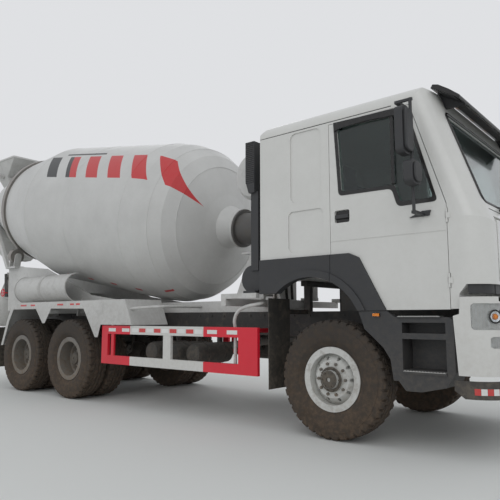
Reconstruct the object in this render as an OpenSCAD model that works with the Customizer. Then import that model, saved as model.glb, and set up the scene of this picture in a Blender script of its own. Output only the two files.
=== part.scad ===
// Concrete mixer truck, 6x4, with a tilting cab. Millimetres.
// X runs forward, Y to the left, Z up from the ground under the wheels.
// Every piece is drawn from the front axle's centre line; place() moves it to the truck's middle.

/* [Overall] */
// From the front axle to the front of the bumper
front_reach = 1550; // [1545:1:1560]
// From the front axle to the rearmost end of the chute
rear_reach = 8930; // [8920:1:8940]

/* [Wheels and axles] */
// From the front axle to the first rear axle
wheelbase = 4325; // [4310:5:4340]
// Between the two rear axles
tandem = 1350; // [1340:5:1360]
// Diameter of a tyre
tyre_d = 1125; // [1115:1:1130]
// Width of a tyre
tyre_w = 313; // [300:1:316]
// Radius of the seat of the tyre on its rim
rim_seat_r = 254; // [250:1:258]
// Height of the rim's flange over the seat
rim_flange_h = 50; // [40:1:56]
// Width of the rim between its flanges
rim_w = 226; // [215:1:236]
// Thickness of the rim's steel
rim_t = 12; // [10:1:14]
// Between the centres of the front tyres
front_track = 2022; // [2010:2:2030]
// Between the centres of the outer rear tyres
rear_track = 2180; // [2170:2:2190]
// Between the centres of two twin tyres
twin_pitch = 350; // [344:1:356]
// Between the two kingpins
kingpin_track = 1720; // [1700:2:1722]
// Radius of the kingpin
kingpin_r = 24; // [20:1:28]
// Radius of the wheel spindles
spindle_r = 50; // [44:1:56]
// Radius of the brake drums
brake_r = 205; // [195:1:215]

/* [Frame] */
// Height of the frame's top over the ground
frame_top = 1212; // [1205:1:1218]
// Height of a frame rail
rail_h = 280; // [260:2:290]
// Width over the frame rails
frame_w = 860; // [850:2:866]
// Width of a rail's flange
rail_flange = 80; // [70:1:90]
// Thickness of the rail's steel
rail_t = 8; // [7:0.5:10]
// Front end of the frame ahead of the front axle
frame_front = 1330; // [1320:5:1340]
// Rear end of the frame behind the front axle
frame_rear = 7450; // [7440:5:7480]
// Height of the white subframe on the rails
subframe_h = 143; // [130:1:150]

/* [Drum] */
// Tilt of the drum's axis
drum_tilt = 9.8; // [9.6:0.1:10]
// Front head of the drum, behind the front axle
drum_x = 2499; // [2490:1:2510]
// Height of the drum's axis at its front head
drum_z = 2442; // [2438:1:2450]
// Largest radius of the drum
drum_r = 1190; // [1180:1:1195]
// Radius of the drum's mouth
mouth_r = 590; // [580:5:595]
// Thickness of the drum's wall
drum_wall = 10; // [8:1:14]
// Outer radius of the roller track
track_r = 995; // [990:1:1000]
// Place of the roller track along the axis
track_s = 4590; // [4580:5:4600]
// Width of the roller track
track_w = 90; // [80:2:100]
// Radius of a support roller
roller_r = 130; // [125:1:134]
// Angle of a support roller from straight below
roller_angle = 33; // [32:0.5:34]

/* [Cab] */
// Width of the cab
cab_w = 2300; // [2294:2:2304]
// Rear wall of the cab behind the front axle
cab_rear = 845; // [840:1:850]
// Front face of the cab ahead of the front axle
cab_front = 1485; // [1482:1:1488]
// Height of the roof
cab_top = 3222; // [3215:1:3230]
// Thickness of the cab's walls
cab_wall = 70; // [66:1:74]
// Radius of the cab's front corners
cab_corner_r = 230; // [220:5:240]
// Radius of the roof's edges
roof_r = 140; // [130:5:150]
// Place of the seam between the rear panel and the door
door_seam_x = 25; // [20:1:30]
// Place of the seam in front of the door
door_front_x = 1168; // [1166:1:1170]
// Lower edge of the door
door_bottom = 1210; // [1208:1:1214]
// Gap round the doors
door_gap = 5; // [5:0.5:6]
// Thickness of window glass
glass_t = 6; // [5:0.5:8]
// Radius of the wheel arch
arch_r = 600; // [595:1:605]
// How far the dark wheel arch panels stand out of the cab
flare_out = 22; // [18:1:26]

/* [Side guards] */
// Front end of the side guards behind the front axle
guard_front = 830; // [825:1:840]
// Rear end of the side guards behind the front axle
guard_rear = 3530; // [3520:2:3536]
// Top of the side guards
guard_top = 1040; // [1034:1:1044]
// Lower edge of the side guards
guard_low = 540; // [530:2:550]
// Distance of the guards' outer face from the middle
guard_y = 1225; // [1220:1:1230]

/* [Hidden] */
$fn = 48;
seat = 0.3;
slack = 0.1;
front_axle_x = (rear_reach - front_reach) / 2;
axle_z = tyre_d / 2;
rail_y = frame_w / 2;
rail_low = frame_top - rail_h;
subframe_top = frame_top + subframe_h;
cab_y = cab_w / 2;
rear_axle_x = [-wheelbase, -wheelbase - tandem];
bogie_x = -wheelbase - tandem / 2;
twin_mid_y = (rear_track - twin_pitch) / 2;
kingpin_y = kingpin_track / 2;
front_wheel_y = front_track / 2;

module place() { translate([front_axle_x, 0, 0]) children(); }
module both() {
    children();
    mirror([0, 1, 0]) children();
}
// side 1 is the left, side -1 the right
module on_side(side) {
    if (side > 0) children();
    else mirror([0, 1, 0]) children();
}
module box(x0, x1, y0, y1, z0, z1) {
    translate([x0, y0, z0]) cube([x1 - x0, y1 - y0, z1 - z0]);
}
// A flat outline of X and Z, thick from y0 to y1
module slab_y(y0, y1) { translate([0, y1, 0]) rotate([90, 0, 0]) linear_extrude(y1 - y0) children(); }
// A flat outline of Y and Z, thick from x0 to x1
module slab_x(x0, x1) { translate([x0, 0, 0]) rotate([90, 0, 90]) linear_extrude(x1 - x0) children(); }
// A flat outline of X and Y, thick from z0 to z1
module slab_z(z0, z1) { translate([0, 0, z0]) linear_extrude(z1 - z0) children(); }
module rod_y(x, z, r, y0, y1) { translate([x, y0, z]) rotate([-90, 0, 0]) cylinder(r = r, h = y1 - y0); }
module rod_x(y, z, r, x0, x1) { translate([x0, y, z]) rotate([0, 90, 0]) cylinder(r = r, h = x1 - x0); }
module rod_z(x, y, r, z0, z1) { translate([x, y, z0]) cylinder(r = r, h = z1 - z0); }
// A round rod at the distance y from the middle, between two points of X and Z
module rod_xz(a, b, y, r) {
    dx = b[0] - a[0];
    dz = b[1] - a[1];
    translate([a[0], y, a[1]]) rotate([0, atan2(dx, dz), 0]) cylinder(r = r, h = sqrt(dx * dx + dz * dz));
}
function arc(cx, cy, r, a0, a1, n) =
    [for (i = [0:n]) [cx + r * cos(a0 + (a1 - a0) * i / n), cy + r * sin(a0 + (a1 - a0) * i / n)]];
module rounded(x0, x1, y0, y1, r) {
    translate([x0 + r, y0]) square([x1 - x0 - 2 * r, y1 - y0]);
    translate([x0, y0 + r]) square([x1 - x0, y1 - y0 - 2 * r]);
    for (x = [x0 + r, x1 - r], y = [y0 + r, y1 - r]) translate([x, y]) circle(r = r);
}

// Wheels. A wheel is drawn at the origin, its outer side towards +Y.
bead_r = rim_seat_r + seat;
bead_y = rim_w / 2 - seat;
module tyre() {
    tyre_r = tyre_d / 2;
    side_h = tyre_r - bead_r;
    tread_y = tyre_w * 0.40;
    // columns: half width, radius
    side = [[bead_y, bead_r], [bead_y, bead_r + rim_flange_h], [tyre_w * 0.44, bead_r + side_h * 0.28],
        [tyre_w * 0.49, bead_r + side_h * 0.42], [tyre_w / 2, bead_r + side_h * 0.56],
        [tyre_w * 0.49, bead_r + side_h * 0.72], [tyre_w * 0.46, bead_r + side_h * 0.87],
        [tread_y, tyre_r - 8], [tread_y * 0.6, tyre_r]];
    outline = concat([for (p = side) [p[1], p[0]]],
        [for (i = [len(side) - 1:-1:0]) [side[i][1], -side[i][0]]]);
    rotate([-90, 0, 0]) rotate_extrude($fn = 72) polygon(outline);
}
seat_in = rim_seat_r - rim_t;
module rim_barrel() {
    flange = rim_seat_r + rim_flange_h;
    rotate([-90, 0, 0]) rotate_extrude($fn = 72) polygon([
        [seat_in, -rim_w / 2 - rim_t], [flange, -rim_w / 2 - rim_t], [flange, -rim_w / 2],
        [rim_seat_r, -rim_w / 2], [rim_seat_r, rim_w / 2], [flange, rim_w / 2],
        [flange, rim_w / 2 + rim_t], [seat_in, rim_w / 2 + rim_t]]);
}
front_disc_y = 96;
front_hub_y = 168;
module front_rim_shape() {
    face = front_disc_y + rim_t;
    rim_barrel();
    difference() {
        union() {
            rotate([-90, 0, 0]) rotate_extrude($fn = 72) polygon([
                [seat_in, 12], [seat_in, 30], [218, 62], [176, face], [0, face], [0, -20], [brake_r, -20],
                [brake_r, 38]]);
            rod_y(0, 0, 118, front_disc_y, front_disc_y + 34);
            rod_y(0, 0, 86, front_disc_y, front_hub_y);
        }
        for (i = [0:9]) rotate([0, i * 36, 0]) rod_y(197, 0, 16, 41, 130);
        rod_y(0, 0, spindle_r + slack, -60, front_disc_y);
    }
}
rear_disc_t = 14;
module rear_rim_disc() {
    inner = -twin_pitch / 2;
    rotate([-90, 0, 0]) rotate_extrude($fn = 72) polygon([
        [seat_in + 4, -66], [seat_in + 4, -46], [222, -60], [190, inner + 40], [172, inner + rear_disc_t],
        [100, inner + rear_disc_t], [100, inner], [186, inner]]);
}
rear_hub_y = twin_pitch / 2 + 30;
rear_drum_in = twin_pitch - 46;
module rear_rims_shape() {
    difference() {
        union() {
            for (s = [-1, 1]) on_side(s) translate([0, twin_pitch / 2, 0]) {
                rim_barrel();
                rear_rim_disc();
            }
            rod_y(0, 0, 140, -60, 60);
            rod_y(0, 0, 110, 0, rear_hub_y - 40);
            rod_y(0, 0, 80, 0, rear_hub_y);
            rod_y(0, 0, brake_r, -rear_drum_in, -14);
        }
        rod_y(0, 0, spindle_r + slack, -rear_drum_in - 5, 60);
    }
}
module front_wheel_at(side) { on_side(side) translate([0, front_wheel_y, axle_z]) children(); }
module rear_wheel_at(i, side) {
    on_side(side) translate([rear_axle_x[i], twin_mid_y, axle_z]) children();
}
module front_tyre(side) { color("dimgray") front_wheel_at(side) tyre(); }
module front_rim(side) { color("silver") front_wheel_at(side) front_rim_shape(); }
module rear_tyres(i, side) {
    color("dimgray") rear_wheel_at(i, side)
        for (s = [-1, 1]) translate([0, s * twin_pitch / 2, 0]) tyre();
}
module rear_rims(i, side) { color("gray") rear_wheel_at(i, side) rear_rims_shape(); }

// Steering: the arms point straight back from the kingpins
boss_h = 110;
arm_x = -250;
arm_z = axle_z - boss_h / 2 - 50;
yoke_out = kingpin_y + 72;
module knuckle(side) {
    color("dimgray") on_side(side) {
        rod_z(0, kingpin_y, kingpin_r, axle_z - boss_h / 2 - 44, axle_z + boss_h / 2 + 44);
        for (z = [axle_z - boss_h / 2 - 42, axle_z + boss_h / 2 + 0.5])
            box(-45, 45, kingpin_y - 40, yoke_out, z, z + 41.5);
        box(-60, 60, yoke_out - 6, yoke_out + 16, axle_z - 98, axle_z + 98);
        rod_y(0, axle_z, spindle_r, yoke_out, front_wheel_y + front_disc_y - 30);
        rod_y(0, axle_z, 150, yoke_out + 2, yoke_out + 12);
        box(arm_x, -40, kingpin_y - 18, kingpin_y + 18, arm_z, arm_z + 16);
        rod_z(arm_x, kingpin_y, 18, arm_z, arm_z + 16);
    }
}
module tie_rod() {
    color("dimgray") {
        rod_y(arm_x, arm_z - 32, 18, -kingpin_y, kingpin_y);
        for (s = [-1, 1]) rod_z(arm_x, s * kingpin_y, 20, arm_z - 54, arm_z - seat);
    }
}

// Axles
beam_drop = 60;
spring_y = 430;
beam_top = axle_z - beam_drop + 45;
module axles() {
    color("dimgray") {
        difference() {
            union() {
                slab_x(-40, 40) polygon([
                    [-kingpin_y, axle_z - 45], [-kingpin_y, axle_z + 45],
                    [-kingpin_y + 130, axle_z + 30], [-spring_y - 70, beam_top], [spring_y + 70, beam_top],
                    [kingpin_y - 130, axle_z + 30], [kingpin_y, axle_z + 45],
                    [kingpin_y, axle_z - 45], [kingpin_y - 130, axle_z - 45],
                    [spring_y + 70, beam_top - 90], [-spring_y - 70, beam_top - 90],
                    [-kingpin_y + 130, axle_z - 45]]);
                both() rod_z(0, kingpin_y, 56, axle_z - boss_h / 2, axle_z + boss_h / 2);
                both() box(-75, 75, spring_y - 50, spring_y + 50, beam_top - 30, beam_top);
            }
            both() rod_z(0, kingpin_y, kingpin_r + slack, axle_z - boss_h, axle_z + boss_h);
        }
        for (x = rear_axle_x) translate([x, 0, axle_z]) rear_axle();
    }
}
module rear_axle() {
    drum_in = twin_mid_y - rear_drum_in;
    both() box(-65, 65, 0, drum_in - 71, -70, 70);
    both() rod_y(0, 0, 62, drum_in - 90, drum_in - 6);
    both() rod_y(0, 0, spindle_r, drum_in - 6, twin_mid_y - 20);
    both() rod_y(0, 0, 150, drum_in - 14, drum_in - 6);
    sphere(r = 200);
    rod_x(0, 0, 80, 150, 300);
}

// Springs: packs of leaves
leaf_w = 90;
front_leaf_t = 14;
front_leaf_n = 6;
front_spring_r = 1900;
front_spring_half = 780;
bogie_leaf_t = 20;
bogie_leaf_n = 7;
bogie_spring_r = 2573;
bogie_spring_half = 735;
bogie_y = rail_y + 70;
bogie_top = 740;
// A pack of n leaves round a centre; each leaf is shorter than the last by the share less
module leaf_pack(cx, cy, mid, r, t, n, half, less) {
    a = [for (i = [0:n - 1]) asin(half * (1 - i * less) / (r + i * t))];
    function at(q, angle) = [cx + q * cos(angle), cy + q * sin(angle)];
    polygon(concat(arc(cx, cy, r, mid - a[0] * 0.9, mid + a[0] * 0.9, 8),
        [for (i = [0:n - 1], e = [0, 1]) at(r + (i + e) * t, mid + a[i])],
        arc(cx, cy, r + n * t, mid + a[n - 1] * 0.7, mid - a[n - 1] * 0.7, 4),
        [for (i = [n - 1:-1:0], e = [1, 0]) at(r + (i + e) * t, mid - a[i])]));
}
module springs() {
    main_z = beam_top + seat + front_leaf_n * front_leaf_t;
    eye_z = main_z + front_spring_r * (1 - cos(asin(front_spring_half / front_spring_r)));
    color("dimgray") both() {
        slab_y(spring_y - leaf_w / 2, spring_y + leaf_w / 2)
            leaf_pack(0, main_z + front_spring_r, -90, front_spring_r, front_leaf_t, front_leaf_n,
                front_spring_half, 0.13);
        for (s = [-1, 1]) box(s * front_spring_half - 30, s * front_spring_half + 30,
            spring_y - leaf_w / 2, spring_y + leaf_w / 2, eye_z - 20, rail_low - seat);
        slab_y(bogie_y - leaf_w / 2, bogie_y + leaf_w / 2)
            leaf_pack(bogie_x, bogie_top - bogie_spring_r, 90, bogie_spring_r, bogie_leaf_t, bogie_leaf_n,
                bogie_spring_half, 0.12);
    }
}

// Frame
module rail_outline() {
    difference() {
        translate([rail_y - rail_flange, rail_low]) square([rail_flange, rail_h]);
        translate([rail_y - rail_flange - 1, rail_low + rail_t])
            square([rail_flange + 1 - rail_t, rail_h - 2 * rail_t]);
    }
}
saddle_z = bogie_top - 90 * tan(asin(bogie_spring_half / bogie_spring_r) * 0.9 / 8) - seat;
cross_x = [-1250, -2300, -3300, bogie_x - 300, bogie_x + 300, -6600];
pivot_x = 1360;
pivot_z = 1300;
pivot_r = 25;
lug_y = rail_y + 10;
lug_t = 70;
deck_low = 1560;
bridge_x = -740;
module frame() {
    web = rail_y - rail_t / 2;
    color("dimgray") {
        both() slab_x(-frame_rear, frame_front) rail_outline();
        for (x = cross_x) box(x - 45, x + 45, -web, web, frame_top - 190, frame_top - 60);
        box(frame_front - 90, frame_front, -web, web, rail_low + 20, frame_top - 60);
        box(-frame_rear, -frame_rear + 12, -rail_y, rail_y, rail_low, frame_top);
        // brackets that carry the cab's tilt pivot
        both() slab_y(rail_y - 28, rail_y) polygon([[frame_front - 140, rail_low],
            [frame_front - 140, frame_top + 20], [pivot_x - 42, pivot_z + 30], [pivot_x + 38, pivot_z + 30],
            [pivot_x + 38, pivot_z - 30], [frame_front, pivot_z - 110], [frame_front, rail_low]]);
        both() rod_y(pivot_x, pivot_z, pivot_r, rail_y - 28, lug_y + lug_t + 8);
        // bridge under the back of the cab
        both() box(bridge_x - 40, bridge_x + 40, rail_y - 60, rail_y, frame_top - 20, deck_low - 60);
        box(bridge_x - 40, bridge_x + 40, -rail_y - 60, rail_y + 60, deck_low - 60, deck_low - seat);
        // bogie brackets, trunnion and saddles
        both() slab_y(rail_y - 4, rail_y + 16) polygon([[bogie_x - 190, frame_top - 60],
            [bogie_x + 190, frame_top - 60], [bogie_x + 80, 640], [bogie_x - 80, 640]]);
        rod_y(bogie_x, 690, 42, -bogie_y - 40, bogie_y + 40);
        both() box(bogie_x - 90, bogie_x + 90, bogie_y - 42, bogie_y + 42, 680, saddle_z);
        // rear underride bar
        both() box(-frame_rear - 50, -frame_rear, rail_y - 60, rail_y, 560, frame_top - 40);
        box(-frame_rear - 50, -frame_rear + 10, -1140, 1140, 500, 640);
        // tow eye
        difference() {
            slab_z(1040, 1080) union() {
                translate([-frame_rear - 70, -50]) square([75, 100]);
                translate([-frame_rear - 70, 0]) circle(r = 50);
            }
            rod_z(-frame_rear - 70, 0, tow_r, 1000, 1100);
        }
    }
}
tow_r = 21;
swivel_x = -8130;
post_r = 40;
module subframe() {
    color("whitesmoke") difference() {
        union() {
            both() box(-frame_rear + 60, -1260, rail_y - 90, rail_y - 10, frame_top + seat, subframe_top);
            for (x = [-2300, -3300, -4700, -6100, -frame_rear + 110])
                box(x - 40, x + 40, -rail_y + 20, rail_y - 20, frame_top + 20, frame_top + 100);
            // outriggers and side beams behind the cab
            box(-1370, -1300, -1200, 1200, frame_top + 60, subframe_top);
            both() box(-1370, -870, 1140, 1200, subframe_top - 5, subframe_top + 49);
            // arms and bearing of the chute swivel
            both() slab_z(frame_top + 10, frame_top + 90) polygon([[-frame_rear + 140, 300],
                [-frame_rear + 140, 200], [swivel_x, 10], [swivel_x, 50]]);
            rod_z(swivel_x, 0, 62, frame_top - 20, 1520);
        }
        rod_z(swivel_x, 0, post_r + slack, frame_top - 30, 1530);
    }
}

// Drum. Its axis runs back and up; along it, s is measured from the front head.
module along_drum() { translate([-drum_x, 0, drum_z]) rotate([0, drum_tilt - 90, 0]) children(); }
function drum_pos(s, down) = [-drum_x - s * cos(drum_tilt) - down * sin(drum_tilt),
    drum_z + s * sin(drum_tilt) - down * cos(drum_tilt)];
flange_s = -450;
flange_r = 270;
cyl_from = 800;
cyl_to = 3400;
track_seat_r = track_r - 40;
mouth_s = track_s + 1130;
// columns: place along the axis, outer radius
drum_sections = [[flange_s, flange_r], [flange_s + 40, flange_r], [flange_s + 40, 200], [-200, 300],
    [-130, 450], [-60, 640], [20, 840], [130, 1000], [300, 1100], [520, 1165],
    [cyl_from, drum_r], [cyl_to, drum_r],
    [track_s - 90, track_seat_r + 14], [track_s - 90, track_seat_r], [track_s + 90, track_seat_r],
    [mouth_s, mouth_r]];
// columns: place along the axis, inner radius
drum_inside = [[mouth_s, mouth_r - drum_wall], [track_s + 60, track_seat_r - 20],
    [track_s - 60, track_seat_r - 20], [cyl_to - 20, drum_r - drum_wall],
    [cyl_from + 10, drum_r - drum_wall], [530, 1147], [312, 1082], [146, 985], [38, 828], [-42, 630],
    [-112, 436], [-180, 280], [flange_s + 50, 150], [flange_s + 20, 0]];
module drum() {
    color("whitesmoke") along_drum() rotate_extrude($fn = 96) polygon(concat([[0, flange_s]],
        [for (p = drum_sections) [p[1], p[0]]], [for (p = drum_inside) [p[1], p[0]]]));
}
module drum_track() {
    color("dimgray") along_drum() rotate_extrude($fn = 96)
        translate([track_seat_r + seat, track_s - track_w / 2])
            square([track_r - track_seat_r - seat, track_w]);
}
roller_w = 110;
roller_gap = 0.5;
roller_reach = track_r + roller_r + roller_gap;
roller_pin_r = 30;
module at_roller(side) {
    along_drum() translate([-roller_reach * cos(roller_angle), side * roller_reach * sin(roller_angle),
        track_s]) children();
}
module roller(side) {
    color("dimgray") at_roller(side) difference() {
        union() {
            translate([0, 0, -roller_w / 2]) cylinder(r = roller_r, h = roller_w);
            translate([0, 0, -roller_w / 2 - 12]) cylinder(r = 60, h = roller_w + 24);
        }
        translate([0, 0, -roller_w]) cylinder(r = roller_pin_r + slack, h = 2 * roller_w);
    }
}

// Pedestals that carry the drum
ped_base_x = [-1913, -1435];
ped_top_x = [-1650, -1435];
ped_top_z = 1950;
plate_y = 600;
plate_t = 14;
plate_low = frame_top + 60;
cross_beam_x = -7350;
module drum_supports() {
    foot = subframe_top + seat;
    color("whitesmoke") {
        // front pedestal: two tapered side plates, a front and a sloping back
        both() slab_y(rail_y - 90, rail_y - 74) polygon([[ped_base_x[0], foot], [ped_base_x[1], foot],
            [ped_top_x[1], ped_top_z], [ped_top_x[0], ped_top_z]]);
        box(ped_base_x[1] - 14, ped_base_x[1], -rail_y + 80, rail_y - 80, foot, ped_top_z);
        slab_y(-rail_y + 80, rail_y - 80) polygon([[ped_base_x[0], foot], [ped_base_x[0] + 14, foot],
            [ped_top_x[0] + 14, ped_top_z], [ped_top_x[0], ped_top_z]]);
        box(ped_top_x[0] - 130, ped_top_x[1], -rail_y + 60, rail_y - 60, ped_top_z, ped_top_z + 24);
        both() box(ped_base_x[0] - 40, ped_base_x[1] + 30, rail_y - 100, rail_y + 10, foot, foot + 16);
        // rear pedestal: a long side plate on each side, crossed by beams
        both() slab_y(plate_y, plate_y + plate_t) polygon([[-7424, 2123], [-6056, 1990], [-4711, 1500],
            [-3843, 1387], [-3843, plate_low], [-7390, plate_low]]);
        both() for (x = [-4000, -5000, -6200, -7250])
            box(x - 8, x + 8, rail_y - 10 + seat, plate_y + 2, plate_low, subframe_top);
        box(cross_beam_x - 50, cross_beam_x + 50, -plate_y - 2, plate_y + 2, 1750, 1850);
        box(-6250, -6150, -plate_y - 2, plate_y + 2, 1500, 1600);
        box(-5050, -4950, -plate_y - 2, plate_y + 2, foot + 5, foot + 65);
        for (s = [-1, 1]) on_side(s) roller_bracket();
    }
}
module roller_bracket() {
    cheek_s = roller_w / 2 + 28;
    c = drum_pos(track_s, roller_reach * cos(roller_angle));
    y = roller_reach * sin(roller_angle);
    for (e = [-1, 1]) at_roller(1) translate([0, 0, e * cheek_s - 13]) {
        cylinder(r = 62, h = 26);
        translate([-215, -62, 0]) cube([215, 124, 26]);
    }
    at_roller(1) translate([0, 0, -cheek_s - 20]) cylinder(r = roller_pin_r, h = 2 * cheek_s + 40);
    box(c[0] - 145, c[0] + 150, y - 90, y + 90, 2060, 2092);
}
module drum_drive() {
    gear_low = ped_top_z + 24 + seat;
    color("gray") {
        along_drum() {
            translate([0, 0, flange_s - 24]) cylinder(r = flange_r - 8, h = 24 - seat);
            translate([0, 0, flange_s - 350]) cylinder(r = 215, h = 330);
            translate([0, 0, flange_s - 520]) cylinder(r = 120, h = 180);
        }
        box(-1765, -1470, -190, 190, gear_low, gear_low + 40);
        both() slab_y(120, 150) polygon([[-1765, gear_low], [-1500, gear_low], [-1640, 2330], [-1765, 2330]]);
        box(-1765, -1735, -150, 150, gear_low, 2330);
    }
}

// Hopper over the drum's mouth, discharge collar under it, and the posts that carry them
post_y = [616, 676];
hopper_top = 4300;
hopper_foot = hopper_top - 600;
mouth_gap = 25;
collar_from = 5000;
cone_slope = (track_seat_r - mouth_r) / (mouth_s - track_s - 90);
module hopper() {
    color("whitesmoke") {
        both() slab_y(post_y[0], post_y[1]) polygon([[-7335, 2060], [-7425, 2060], [-8290, 3320],
            [-8290, hopper_top - 240], [-8200, hopper_top - 240], [-8200, 3320]]);
        both() box(-7420, -7340, plate_y + plate_t + seat, post_y[0] + 2, 2062, 2100);
        difference() {
            intersection() {
                slab_y(-600, 600) polygon([[-8560, hopper_top], [-7560, hopper_top], [-8090, hopper_top - 290],
                    [-8090, hopper_foot], [-8330, hopper_foot]]);
                slab_x(-8600, -7500) polygon([[-560, hopper_top], [560, hopper_top], [260, hopper_foot],
                    [-260, hopper_foot]]);
            }
            intersection() {
                slab_y(-600, 600) polygon([[-8552, hopper_top + 1], [-7584, hopper_top + 1],
                    [-8098, hopper_top - 286], [-8098, hopper_foot - 1], [-8322, hopper_foot - 1]]);
                slab_x(-8600, -7500) polygon([[-552, hopper_top + 1], [552, hopper_top + 1],
                    [252, hopper_foot - 1], [-252, hopper_foot - 1]]);
            }
        }
        // rim of the hopper
        difference() {
            slab_z(hopper_top, hopper_top + 30) rounded(-8580, -7540, -580, 580, 40);
            slab_z(hopper_top - 1, hopper_top + 31) rounded(-8552, -7584, -552, 552, 30);
        }
        box(-8290, -8200, -616, -430, hopper_top - 300, hopper_top - 240);
        box(-8290, -8200, 430, 616, hopper_top - 300, hopper_top - 240);
        difference() {
            intersection() {
                slab_y(-700, 700) polygon([[-8480, 3180], [-8330, 3180], [-8090, 2740], [-8180, 2330],
                    [-8400, 2330]]);
                slab_x(-8500, -8000) polygon([[-622, 3180], [622, 3180], [622, 2760], [220, 2330],
                    [-220, 2330], [-622, 2760]]);
            }
            intersection() {
                slab_y(-700, 700) polygon([[-8472, 3181], [-8330, 3181], [-8098, 2741], [-8188, 2329],
                    [-8392, 2329]]);
                slab_x(-8500, -8000) polygon([[-614, 3181], [614, 3181], [614, 2764], [212, 2329],
                    [-212, 2329], [-614, 2764]]);
            }
            along_drum() translate([0, 0, collar_from])
                cylinder(r1 = mouth_r + mouth_gap + (mouth_s + 20 - collar_from) * cone_slope,
                    r2 = mouth_r + mouth_gap, h = mouth_s + 20 - collar_from);
        }
        both() box(-8290, -8200, 612, 622, 2900, 3300);
    }
}
platform_z = 2750;
module ladder() {
    color("whitesmoke") {
        for (y = [776, 1150]) box(-7700, -7650, y, y + 30, 750, 3650);
        for (z = [780:280:2740]) rod_y(-7675, z, 14, 780, 1170);
        for (z = [3200, 3636]) box(-8240, -7650, 1150, 1180, z - 14, z + 14);
        box(-8240, -8200, 1150, 1180, platform_z, 3650);
        box(-8240, -7650, post_y[1] + seat, 1180, platform_z, platform_z + 30);
        for (z = [1700, 1980]) {
            box(-7700, -7400, 760, 790, z, z + 40);
            box(-7424, -7384, plate_y + plate_t + seat, 790, z, z + 40);
        }
    }
}

// Chute: a swivel post in the subframe's bearing carries a half round trough
chute_hinge = [-8190, 2000];
chute_r = 240;
chute_slope = 50;
chute_pin_r = 16;
cheek_y = 285;
module chute_swivel() {
    color("dimgray") {
        rod_z(swivel_x, 0, post_r, frame_top - 10, 1540);
        rod_z(swivel_x, 0, 62, 1520 + seat, 1562);
        box(-8190, -8060, -cheek_y - 15, cheek_y + 15, 1560, 1590);
        both() slab_y(cheek_y, cheek_y + 15) polygon([[-8190, 1560], [-8060, 1560],
            [chute_hinge[0] + 42, chute_hinge[1] + 30], [chute_hinge[0] - 42, chute_hinge[1] + 30]]);
        both() rod_y(chute_hinge[0], chute_hinge[1], chute_pin_r, cheek_y - 30, cheek_y + 4);
    }
}
module chute() {
    color("whitesmoke") translate([chute_hinge[0], 0, chute_hinge[1]]) rotate([0, 180 - chute_slope, 0])
        mirror([0, 0, 1]) difference() {
            union() {
                difference() {
                    union() {
                        rod_x(0, 0, chute_r, -150, 1150);
                        for (x = [-150, 480, 1120]) rod_x(0, 0, chute_r + 14, x, x + 30);
                    }
                    rod_x(0, 0, chute_r - 6, -151, 1151);
                    box(-200, 1200, -300, 300, 0, 300);
                }
                both() box(-60, 60, chute_r - 6, cheek_y - 5, -60, 20);
                both() rod_y(0, 0, 34, chute_r + 15, cheek_y - 5);
                both() box(-150, 1150, chute_r - 8, chute_r + 14, -14, 0);
            }
            rod_y(0, 0, chute_pin_r + slack, -400, 400);
        }
}

// Driveline: engine as a plain block, radiator, gearbox and shafts
module driveline() {
    color("gray") {
        box(-350, 940, -330, 330, 750, 1500);
        both() box(60, 160, 300, rail_y - rail_t - seat, 1010, 1080);
        box(1010, 1150, -340, 340, 700, 1450);
        box(900, 1020, -60, 60, 900, 1300);
        rod_x(0, 930, 220, -900, -340);
        rod_x(0, 900, 90, -1150, -890);
        both() box(-700, -640, 150, rail_y - rail_t - seat, 960, 1020);
        rod_xz([-1140, 900], [rear_axle_x[0] + 312, axle_z + 4], 0, 50);
        rod_x(0, axle_z, 40, rear_axle_x[1] + 300 + seat, rear_axle_x[0] - 200);
    }
}

tank_x = [-2700, -2320, -1950];
module tanks() {
    color("dimgray") {
        // air tanks on the right, hung from the rail
        for (x = tank_x) {
            rod_y(x, 715, 125, -1000, -480);
            translate([x, -1000, 715]) intersection() {
                sphere(r = 125);
                box(-130, 130, -60, 10, -130, 130);
            }
            for (y = [-900, -600]) difference() {
                rod_y(x, 715, 131, y, y + 40);
                rod_y(x, 715, 124, y - 1, y + 41);
            }
            box(x - 20, x + 20, -620, -560, 830, 960);
            box(x - 20, x + 20, -620, -rail_y - seat, 940, 980);
        }
        // fuel tank on the left
        slab_x(-2250, -1350) rounded(500, 1150, 560, 1120, 90);
        for (x = [-2150, -1500]) box(x, x + 50, rail_y + seat, 510, 700, 1000);
    }
}

// Side guards: white frames with red ends
module side_guards() {
    y0 = guard_y - 40;
    color("whitesmoke") {
        both() {
            for (z = [[guard_top - 110, guard_top], [guard_low, guard_low + 110]])
                box(-2930 + seat, -1616 - seat, y0, guard_y, z[0], z[1]);
            box(-2300, -2165, y0, guard_y - 4, guard_low + 100, guard_top - 100);
            box(-2425, -2375, rail_y + seat, y0 + 2, 970, 1020);
        }
    }
}
module guard_ends() {
    y0 = guard_y - 40;
    color("red") both() {
        for (z = [[guard_top - 110, guard_top], [guard_low, guard_low + 110]]) {
            box(-guard_rear, -2930, y0, guard_y, z[0], z[1]);
            box(-1616, -guard_front, y0, guard_y, z[0], z[1]);
        }
        box(-guard_rear, -3400, y0, guard_y, guard_low, guard_top);
        box(-3340, -3280, y0 + 4, guard_y - 10, guard_low + 5, guard_top - 5);
        box(-1095, -guard_front, y0, guard_y, guard_low, guard_top);
        for (x = [-3300, -1200]) box(x - 25, x + 25, rail_y + seat, y0 + 10, 970, 1020);
    }
}

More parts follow.
